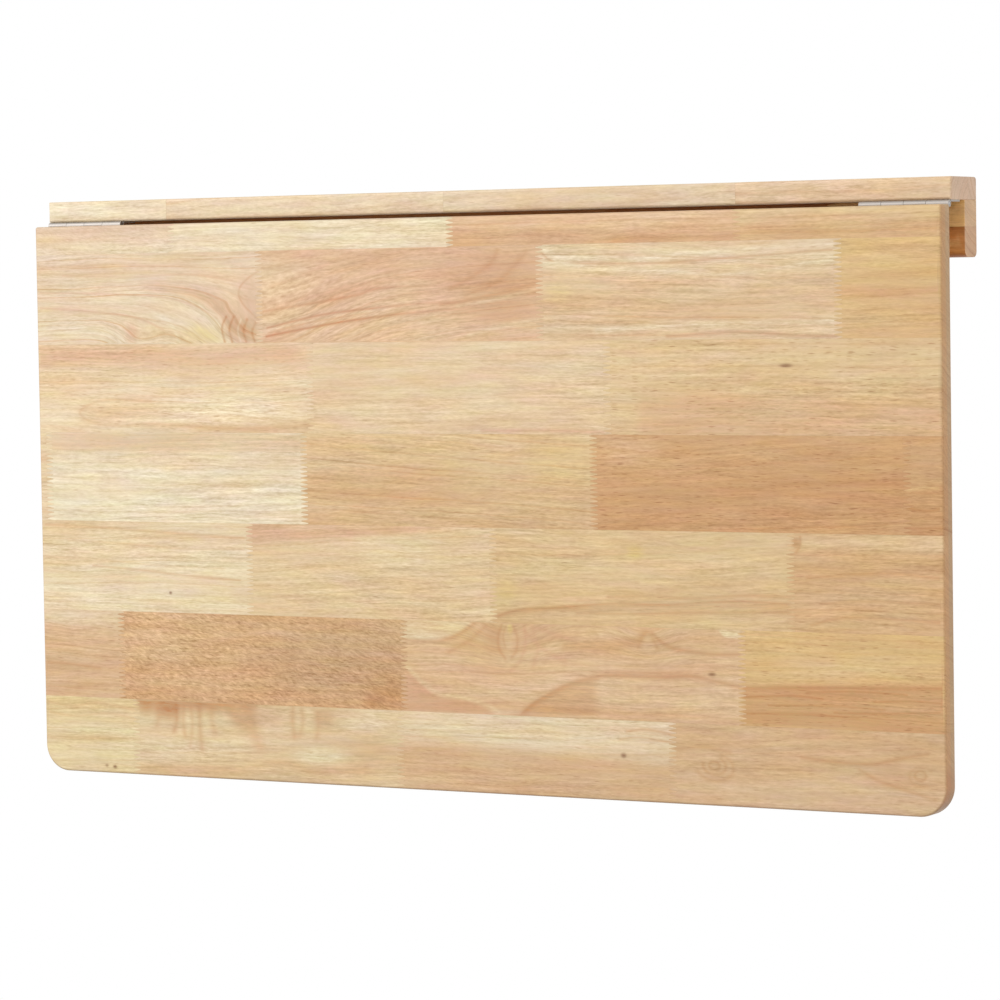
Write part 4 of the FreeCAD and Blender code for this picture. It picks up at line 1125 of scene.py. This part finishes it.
        S("tan", "pale", 0.6, (24, -0.04, 5), pith=(-80, 10), tilt=(-0.04, 0), ring=4.5, line=0.5,
          pore=0.8, band=0.6, look=[Stroke([(2, 400), (30, 401), (62, 404)], 1.4, "umber", 0.36)]),
        S("brown", "umber", 0.15, (0, 0, -20), pith=(40, 30), ring=8, line=0.15, pore=0.8, curl=0.95,
          band=0.2, light=1.07, warm=-0.02, yellow=0.03, look=[
              Spot(150, 385, 90, 36, "tan", 0.35),
              Spot(318, 385, 80, 36, "ash", 0.60),
              Spot(370, 416, 20, 15, "umber", 0.50),
              Spot(362, 406, 8, 4, "gold", 0.35),
              Spot(352, 426, 9, 6, "rust", 0.35),
          ]),
        S("rose", "tan", 0.35, (6, 0.0, 24), pith=(90, 30), tilt=(0.02, 0.02), ring=6, line=0.35,
          pore=0.5, band=0.6, light=0.96, warm=0.18, look=[
              Bend(491, 348, 36, 34, 22),
              Bend(627, 346, 24, 26, 14),
              Spot(450, 366, 34, 18, "gold", 0.45, -0.5),
              Fill([(385, 367), (405, 367.5), (423, 366.5), (440, 361), (456, 352)], 1, "cream", 0.70, 4, 30),
              Stroke([(388, 368.5), (423, 368.5), (443, 362), (459, 352)], 1.8, "umber", 0.28),
              Stroke([(432, 378), (452, 368), (470, 354)], 2.2, "umber", 0.26),
              Spot(478, 362, 9, 15, "brown", 0.45),
              Spot(491, 364, 5.0, 15, "honey", 0.55),
              Spot(494, 356, 2.6, 5, "lemon", 0.80),
              Stroke([(486, 352), (482, 363), (483, 374), (489, 382)], 1.6, "umber", 0.34),
              Stroke([(497, 353), (501, 363), (500, 374), (495, 381)], 1.6, "umber", 0.30),
              Stroke([(490, 353), (487, 363), (489, 372)], 1.2, "umber", 0.26),
              Stroke([(508, 353), (509, 368), (503, 384), (494, 392)], 1.8, "pink", 0.42),
              Stroke([(516, 355), (521, 372), (516, 388)], 2.2, "pink", 0.34),
              Stroke([(508, 357), (525, 372), (548, 382)], 2.0, "pink", 0.40),
              Stroke([(515, 353), (540, 360), (560, 366)], 2.2, "pink", 0.40),
              Spot(585, 356.5, 34, 4.5, "pale", 0.55),
              Stroke([(548, 369), (570, 368), (595, 368), (616, 364), (624, 357)], 4.6, "brown", 0.60),
              Stroke([(618, 369), (622, 360), (627, 355), (632, 360), (637, 369)], 1.8, "brown", 0.50),
              Spot(627, 365, 4.5, 5, "rose", 0.55),
              Stroke([(632, 356), (642, 364), (657, 369), (690, 372), (714, 371)], 1.9, "umber", 0.42),
              Spot(668, 358, 22, 6, "rose", 0.45),
              Fill([(694, 351), (700, 357), (716, 358)], 1, "cream", 0.80, 2, 12),
              Spot(688, 389, 3.8, 1.5, "bark", 0.75),
              Spot(470, 393, 24, 7, "pink", 0.38),
              Fill([(502, 431), (516, 419), (532, 411), (548, 403), (578, 396)], -1, "brown", 0.50, 4, 60),
              Stroke([(502, 431), (516, 420), (532, 411), (548, 403), (570, 396.5), (592, 393), (640, 393),
                      (668, 391.5), (690, 394.5), (714, 399)], 2.4, "umber", 0.42),
              Spot(640, 412, 70, 16, "tan", 0.30),
              Fill([(386, 392), (394, 399), (405, 408), (420, 417), (445, 419.5), (465, 425), (479, 431)], -1,
                   "pink", 0.55, 3, 60),
              Stroke([(388, 390), (397, 398), (408, 406.5), (422, 414), (446, 417), (467, 422), (482, 428)],
                     1.8, "cream", 0.40),
          ]),
        S("gold", "brown", 0.0, (-5, -0.015, -2.5), pith=(120, 30), ring=5, line=0.35, pore=1.2,
          band=0.5, light=1.01, warm=0.15, look=[
              Spot(880, 375, 42, 20, "gold", 0.5),
              Spot(800, 378, 60, 14, "honey", 0.35),
              Fill([(714, 397), (800, 394), (902, 391)], -1, "brown", 0.90, 5, 90),
              Stroke([(718, 400), (800, 397), (898, 394)], 1.4, "umber", 0.36),
              Stroke([(718, 407), (760, 404.5), (790, 406)], 0.8, "umber", 0.55),
              Stroke([(775, 401), (820, 399), (866, 400)], 0.8, "umber", 0.50),
              Stroke([(740, 413), (800, 411.5), (846, 413)], 0.8, "umber", 0.50),
              Stroke([(836, 407), (870, 405), (900, 406)], 0.8, "umber", 0.50),
              Stroke([(718, 421), (770, 419), (822, 421)], 1.0, "umber", 0.45),
              Stroke([(800, 417), (850, 416), (900, 413)], 0.9, "umber", 0.50),
          ]),
    ], 16),
    leaf_row(431, 505, (102, 382, 650), [
        S("pale", "gold", 0.5, (18, 0, 12), pith=(90, 30), tilt=(0.04, 0), ring=5, line=0.5, band=0.7,
          light=1.0, warm=0.08, yellow=0.05, look=[
              Stroke([(4, 437), (30, 440), (60, 436), (100, 441)], 1.2, "tan", 0.60),
              Stroke([(4, 446), (35, 449), (70, 445), (100, 449)], 1.2, "tan", 0.55),
              Spot(68, 493, 1.8, 1.5, "bark", 0.55),
              Spot(77, 494, 2.3, 1.6, "bark", 0.80),
          ]),
        S("honey", "cream", 0.25, (-8, 0.04, 20), pith=(30, 22), tilt=(0.02, 0.03), ring=7, line=0.25,
          pore=0.4, band=0.6, light=0.96, warm=0.09, look=[
              Spot(160, 470, 56, 13, "cream", 0.55),
              Spot(300, 474, 30, 7, "cream", 0.75),
              Spot(250, 444, 20, 11, "rose", 0.60),
              Spot(345, 441, 28, 8, "cream", 0.45),
              Spot(112, 435, 10, 9, "umber", 0.55),
              Spot(136, 437, 14, 12, "umber", 0.72),
              Spot(180, 434, 36, 7, "brown", 0.65),
              Stroke([(105, 433), (150, 432.5), (230, 432.5)], 3.2, "umber", 0.40),
              Stroke([(125, 434), (126, 446), (124, 454)], 3.2, "brown", 0.45),
              Stroke([(145, 434), (146, 448), (143, 458)], 3.0, "umber", 0.42),
              Stroke([(154, 434), (153, 450), (155, 464)], 2.4, "brown", 0.42),
              Stroke([(161, 434), (163, 452), (160, 472)], 2.2, "brown", 0.36),
              Stroke([(171, 434), (171, 455), (173, 474)], 3.0, "umber", 0.36),
              Stroke([(185, 434), (184, 446), (187, 458)], 4.0, "brown", 0.40),
              Spot(217, 441, 17, 13, "brown", 0.80, -0.3),
              Stroke([(212, 438), (225, 452), (235, 468)], 6.5, "tan", 0.70),
              Stroke([(271, 430), (270, 444), (272, 458)], 3.2, "brown", 0.50),
              Stroke([(280, 432), (281, 445), (278, 456)], 3.0, "brown", 0.42),
              Spot(303, 441, 12, 11, "brown", 0.50),
              Stroke([(296, 436), (297, 448), (295, 458)], 3.0, "brown", 0.38),
              Spot(352, 472, 32, 20, "tan", 0.50),
              Stroke([(104, 493), (170, 490), (217, 489), (255, 483), (290, 486), (345, 484)], 3.4, "tan", 0.60),
          ]),
        S("tan", "cream", 0.8, (8, -0.012, 9), pith=(-110, 30), tilt=(0.03, 0), ring=5, line=0.4,
          pore=0.8, band=0.5, light=0.98, warm=0.05, look=[
              Stroke([(607, 440), (625, 438), (649, 441)], 1.0, "brown", 0.55),
              Stroke([(600, 447), (620, 445), (649, 448)], 1.0, "brown", 0.55),
              Spot(603, 461, 2.8, 2.2, "bark", 0.7),
          ]),
        S("rose", "tan", 0.45, (0, 0, 20), pith=(60, 34), tilt=(0.03, 0.03), ring=6, line=0.3, pore=0.6,
          band=0.4, light=0.92, warm=0.18, look=[
              Stroke([(652, 453), (680, 451), (704, 454)], 2.0, "brown", 0.55),
              Stroke(oval(689, 466, 5, 3.5, 0.1), 1.3, "brown", 0.60),
              Stroke(oval(689, 466, 11, 7.5, 0.1, -60, 250), 1.6, "brown", 0.56),
              Stroke(oval(689, 467, 18, 11.5, 0.1, -70, 220), 1.8, "brown", 0.44),
              Spot(850, 468, 26, 10, "pink", 0.45),
              Stroke(oval(877, 466, 5, 4, 0.0), 1.3, "brown", 0.60),
              Stroke(oval(878, 467, 11, 8, 0.0, 60, 260), 1.5, "brown", 0.38),
              Stroke([(770, 455), (800, 458), (835, 458), (862, 452), (884, 448)], 1.6, "umber", 0.36),
              Stroke([(822, 463), (838, 471), (858, 477), (890, 485)], 1.6, "umber", 0.28),
          ]),
    ], 17),
]
leaf_ease = (2.2, 2.2, 2.2, 2.2)
leaf, leaf_info = build_board(
    "leaf_board", [(lx0, lx1), (lz0, lz1), (ly0, ly1)], "xzy", (24.5, 24.5, 2.0, 2.0),
    (leaf_ease, leaf_ease), leaf_rows, wood, rings=True, grid=3.6,
)
finish_board(leaf, leaf_info, 101, linear(203, 153, 104), 1.0)
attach(leaf, "leaf")
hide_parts("drop_leaf")

# the fixed strip: sawn from the same kind of board, two rows wide
(sx0, sx1), (sy0, sy1), (sz0, sz1) = mm_box("top_strip")
strip_rows = [
    Row(sy0 - 3, -16.5, (-323, -25, 258), [
        S("cream", "pale", 0.4, (0, 0, 12), pith=(40, 24), ring=6, line=0.3, band=0.4, pore=0.4,
          light=1.065, warm=-0.03),
        S("pale", "pink", 0.32, (0, 0, 16), pith=(20, 30), tilt=(0.03, 0.06), ring=6, line=0.45,
          curl=0.22, band=0.6, light=1.08, warm=-0.04),
        S("pale", "tan", 0.32, (0, 0, 12), pith=(60, 30), tilt=(0.02, 0.02), ring=6, line=0.35,
          curl=0.1, band=0.5, light=1.06, warm=-0.04),
        S("pale", "pink", 0.55, (0, 0.02, 12), pith=(30, -26), tilt=(0.03, 0.05), ring=5, line=0.4,
          band=0.6, light=1.09, warm=0.03, yellow=-0.035),
    ], 21),
    Row(-16.5, sy1 + 3, (-210, 75, 340), [
        S("honey", pith=(60, 30), line=0.35),
        S("tan", pith=(70, 20), line=0.4),
        S("pale", pith=(90, 30), line=0.3),
        S("rose", pith=(50, 30), line=0.4),
    ], 22),
]
strip, strip_info = build_board(
    "strip_board", [(sx0, sx1), (sy0, sy1), (sz0, sz1)], "xyz", (2.2, 2.2, 0.6, 0.6),
    ((0.7, 0.7, 2.2, 0.25), (0.7, 0.7, 2.2, 4.0)), strip_rows, wood, show=1, grid=9.0,
)
finish_board(strip, strip_info, 102, linear(222, 189, 163))
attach(strip, "wall_side")
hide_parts("top_strip")

# the wall cleat: two rows, a pale one over a red-brown one
(cx0, cx1), (cy0, cy1), (cz0, cz1) = mm_box("wall_cleat")
cleat_rows = [
    Row(cz0 - 3, 1.7, (-290, 15, 262), [
        S("tan", "brown", 0.4, pith=(60, 30), line=0.4),
        S("brown", "rust", 0.3, pith=(70, 20), line=0.4),
        S("tan", pith=(50, 30), line=0.45),
        # painted light: this end stave's colour is brightened well above the wood's own, to stand in for light in
        # the shaded recess behind the leaf
        S("rust", "umber", 0.20, (0, 0, 12), pith=(60, 30), ring=6, line=0.35, band=0.5, pore=0.9,
          light=1.52, warm=0.12, look=[
              Band(19.0, 2.2, "bark", 0.70),
              Band(26, 4.0, "red", 0.55),
              Band(33.5, 2.8, "gold", 0.50),
              Band(40, 3.0, "umber", 0.50),
          ]),
    ], 31),
    Row(1.7, cz1 + 3, (-180, 120, 330), [
        # painted shade: these staves are a dark, saturated umber for the shaded slot between strip and leaf, where
        # they show
        S("umber", pith=(80, 30), line=0.4, warm=0.38, yellow=-0.03),
        S("brown", "umber", 0.6, pith=(60, 30), line=0.4, warm=0.34, yellow=-0.03),
        S("umber", pith=(60, 20), line=0.45, warm=0.38, yellow=-0.03),
        # painted light: this end stave's colour is brightened well above the wood's own, to stand in for light in
        # the shaded recess
        S("gold", "umber", 0.30, (2, 0.05, -7), pith=(50, 24), ring=5, line=0.6, band=0.7, pore=0.9,
          light=1.54, warm=0.20, look=[
              # painted shadow: a dark band along the top, under the strip
              Band(-1.0, 2.4, "umber", 0.45),
              Band(4.0, 0.9, "umber", 0.45),
              Band(12.0, 1.1, "umber", 0.35),
          ]),
    ], 32),
]
cleat, cleat_info = build_board(
    "cleat_board", [(cx0, cx1), (cz0, cz1), (cy0, cy1)], "xzy", (0.4, 0.4, 0.4, 0.4),
    ((0.6, 0.6, 6.0, 0.25), (0.6, 0.6, 6.0, 0.25)), cleat_rows, wood, grid=6.0,
)
holes = []
for x in (-400, -200, 200, 400):
    holes.append(
        turned_cutter("wall_hole", (x, cy0 - 1, 0), (0, 1, 0),
                      [(0, 6.5), (1.0, 5.5), (3.75, 2.75), (cy1 - cy0 + 2, 2.75)])
    )
for x in (-300, 0, 300):
    holes.append(
        turned_cutter("counterbore", (x, (cy0 + cy1) / 2, cz0 - 1), (0, 0, 1),
                      [(0, 5.2), (18.0, 5.2), (18.01, 4.42), (20.4, 2.27), (40.0, 2.27)])
    )
bore(cleat, holes)
finish_board(cleat, cleat_info, 103, linear(213, 178, 146))
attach(cleat, "wall_side")
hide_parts("wall_cleat")

# the wall battens: grain upright
for side, tag in ((-1, "left"), (1, "right")):
    (bx0, bx1), (by0, by1), (bz0, bz1) = mm_box("wall_batten_" + tag)
    cut = bx0 + 26 if side < 0 else bx0 + 34
    rows = [
        Row(bx0 - 3, cut, (-142,), [
            S("tan", "brown", 0.3, pith=(60, 30), line=0.45),
            S("honey", pith=(50, 24), line=0.4),
        ], 41 + side),
        Row(cut, bx1 + 3, (-84,), [
            S("pale", pith=(70, 30), line=0.35),
            S("rose", "pink", 0.3, pith=(40, 30), line=0.45),
        ], 45 + side),
    ]
    batten, info = build_board(
        "batten_board_" + tag, [(bz0, bz1), (bx0, bx1), (by0, by1)], "zxy", (0.5, 0.5, 0.5, 0.5),
        ((2.2, 0.25, 2.2, 2.2), (0.3, 0.25, 0.3, 0.3)), rows, wood,
    )
    holes = [
        turned_cutter("wall_hole", (side * 350, by0 - 1, z), (0, 1, 0),
                      [(0, 6.5), (1.0, 5.5), (3.75, 2.75), (by1 - by0 + 2, 2.75)])
        for z in (-60, -185)
    ]
    bore(batten, holes)
    finish_board(batten, info, 104 + side, linear(214, 176, 140))
    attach(batten, "wall_side")
    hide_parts("wall_batten_" + tag)


# --- other materials -------------------------------------------------------------
def object_mm(net):
    c = net.node("ShaderNodeTexCoord")
    x, y, z = net.split(c.outputs["Object"])
    return x * 1000.0, y * 1000.0, z * 1000.0


def dowel_wood():
    net = Net("beech_dowel")
    x, y, z = object_mm(net)
    grain = net.noise(x * 1.3, y * 1.3, z * 0.05, 3.0, 0.6)
    flute = net.noise(x * 0.5, y * 0.5, z * 0.01, 1.0)
    colour = net.mix(grain * 1.2 + 0.5, linear(214, 176, 132), linear(232, 200, 160))
    net.shader(Base_Color=colour, Roughness=0.62 + grain * 0.2)
    net.bump(grain + flute * 2.0, 0.5, 0.0002)
    return net.mat


def steel(name, tint, rough, along, streaks, spots=0.0, scratch=0.35):
    """Plated sheet steel: rolling marks along one axis, faint clouds and a few fine scratches."""
    net = Net(name)
    c = dict(zip("xyz", object_mm(net)))
    k = {a: (0.03 if a == along else 1.6) for a in "xyz"}
    roll = net.noise(c["x"] * k["x"], c["y"] * k["y"], c["z"] * k["z"], 4.0, 0.65)
    cloud = net.noise(c["x"] * 0.08, c["y"] * 0.08, c["z"] * 0.08, 3.0)
    fine = net.noise(c["x"] * 0.9, c["y"] * 0.9, c["z"] * 0.9, 4.0, 0.7)
    mark = net.ramp(net.noise(c["x"] * 0.33 + fine * 1.2, c["y"] * 0.05, c["z"] * 0.9, 2.0), 0.20, 0.26)
    colour = net.mix(cloud * 1.4 + 0.5, tuple(v * 0.90 for v in tint), tint)
    colour = net.times(colour, 1.0 + roll * streaks)
    if spots:
        spot = net.ramp(fine, 0.18, 0.30) * spots
        colour = net.mix(spot, colour, tuple(v * 0.62 for v in tint))
    net.shader(Base_Color=colour, Metallic=1.0)
    net.shader(Roughness=rough + roll * 0.16 + cloud * 0.10 - mark * scratch * 0.15)
    net.bump(roll * 0.6 + fine * 0.25 - mark * scratch, 0.35, 0.00008)
    return net.mat


def nylon():
    net = Net("nylon_washer")
    x, y, z = object_mm(net)
    cloud = net.noise(x * 0.3, y * 0.3, z * 0.3, 2.0)
    fine = net.noise(x * 3.0, y * 3.0, z * 3.0, 3.0)
    net.shader(Base_Color=net.mix(cloud + 0.5, linear(226, 222, 210), linear(240, 238, 230)))
    net.shader(Roughness=0.42 + fine * 0.12)
    net.bump(fine, 0.2, 0.00005)
    return net.mat


hinge_steel = steel("nickel_plated_hinge", (0.455, 0.425, 0.40), 0.58, "x", 0.12)
brace_steel = steel("zinc_plated_brace", (0.48, 0.49, 0.50), 0.48, "z", 0.22, spots=0.30)
screw_steel = steel("zinc_plated_screw", (0.56, 0.54, 0.50), 0.34, "y", 0.14, spots=0.20)
rivet_steel = steel("bright_rivet", (0.60, 0.60, 0.61), 0.30, "x", 0.10)
materials = {
    "dowels": dowel_wood(),
    "hinge_strip_plate": hinge_steel,
    "hinge_leaf_plate": hinge_steel,
    "hinge_pin": rivet_steel,
    "screws": screw_steel,
    "bracket": brace_steel,
    "link": brace_steel,
    "pivot_washers": nylon(),
    "pivot": rivet_steel,
    "knee_rivet": rivet_steel,
    "stop_pins": rivet_steel,
}
EASED = {"bracket": 0.35, "link": 0.35, "screws": 0.08, "hinge_pin": 0.2, "stop_pins": 0.25, "pivot_washers": 0.06}

for name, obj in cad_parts.items():
    if obj.hide_render:
        continue
    kind = (
        "screws" if "screws" in name
        else "dowels" if "dowels" in name
        else "pivot_washers" if "washers" in name
        else "stop_pins" if "stop_pins" in name
        else "bracket" if "bracket" in name
        else "link" if "link" in name
        else next(k for k in materials if name.startswith(k) or k in name)
    )
    obj.data.materials.clear()
    obj.data.materials.append(materials[kind])
    if kind in EASED:
        m = obj.modifiers.new("join", "WELD")
        m.merge_threshold = 0.000004
        m = obj.modifiers.new("eased", "BEVEL")
        m.width, m.segments, m.limit_method = EASED[kind] * MM, 2, "ANGLE"
        m.angle_limit = math.radians(40)
        m.use_clamp_overlap = True
        m.harden_normals = True

# --- floor, light and camera -----------------------------------------------------
# The table hangs high on its wall, so the floor is far below it.
half = 9.0
floor_mesh = bpy.data.meshes.new("floor")
floor_mesh.from_pydata(
    [(-half, -half, 0), (half, -half, 0), (half, half, 0), (-half, half, 0)], [], [(0, 1, 2, 3)]
)
floor = bpy.data.objects.new("floor", floor_mesh)
bpy.context.scene.collection.objects.link(floor)
floor.location.z = -5.2
pale = Net("pale_floor")
pale.shader(Base_Color=(0.88, 0.88, 0.88), Roughness=0.9, Emission_Color=(1.0, 1.0, 1.0))
pale.bsdf.inputs["Emission Strength"].default_value = 0.24
floor_mesh.materials.append(pale.mat)

world = bpy.data.worlds.new("studio")
bpy.context.scene.world = world
world.use_nodes = True
sky = world.node_tree.nodes["Background"]
sky.inputs["Color"].default_value = (1, 1, 1, 1)
sky.inputs["Strength"].default_value = 1.0


def area(name, at, towards, size, power, colour):
    lamp = bpy.data.lights.new(name, "AREA")
    lamp.shape, lamp.size, lamp.energy, lamp.color = "SQUARE", size, power, colour
    obj = bpy.data.objects.new(name, lamp)
    bpy.context.scene.collection.objects.link(obj)
    obj.location = at
    obj.rotation_mode = "QUATERNION"
    obj.rotation_quaternion = (Vector(towards) - Vector(at)).to_track_quat("-Z", "Y")


area("key", (-1.9, -2.2, 1.3), (-0.25, 0, -0.2), 1.6, 52, (1.0, 0.985, 0.965))
area("fill", (2.4, -1.6, 0.6), (0.2, 0, -0.2), 1.6, 12, (1.0, 0.93, 0.84))

yaw, pitch, roll = math.radians(29.565), math.radians(3.019), math.radians(-0.918)
forward = Vector((-math.sin(yaw) * math.cos(pitch), math.cos(yaw) * math.cos(pitch), -math.sin(pitch)))
right = Vector((math.cos(yaw), math.sin(yaw), 0))
up = right.cross(forward)
right, up = (
    right * math.cos(roll) + up * math.sin(roll),
    up * math.cos(roll) - right * math.sin(roll),
)
cam_data = bpy.data.cameras.new("camera")
cam_data.sensor_width = 36.0
cam_data.lens = 4073.585 * 36.0 / 1000.0
cam_data.clip_end = 60.0
cam = bpy.data.objects.new("camera", cam_data)
bpy.context.scene.collection.objects.link(cam)
cam.matrix_world = Matrix(
    (
        (right.x, up.x, -forward.x, 1.765957),
        (right.y, up.y, -forward.y, -3.123524),
        (right.z, up.z, -forward.z, -0.040263),
        (0, 0, 0, 1),
    )
)
bpy.context.scene.camera = cam
bpy.context.scene.view_settings.view_transform = "Standard"
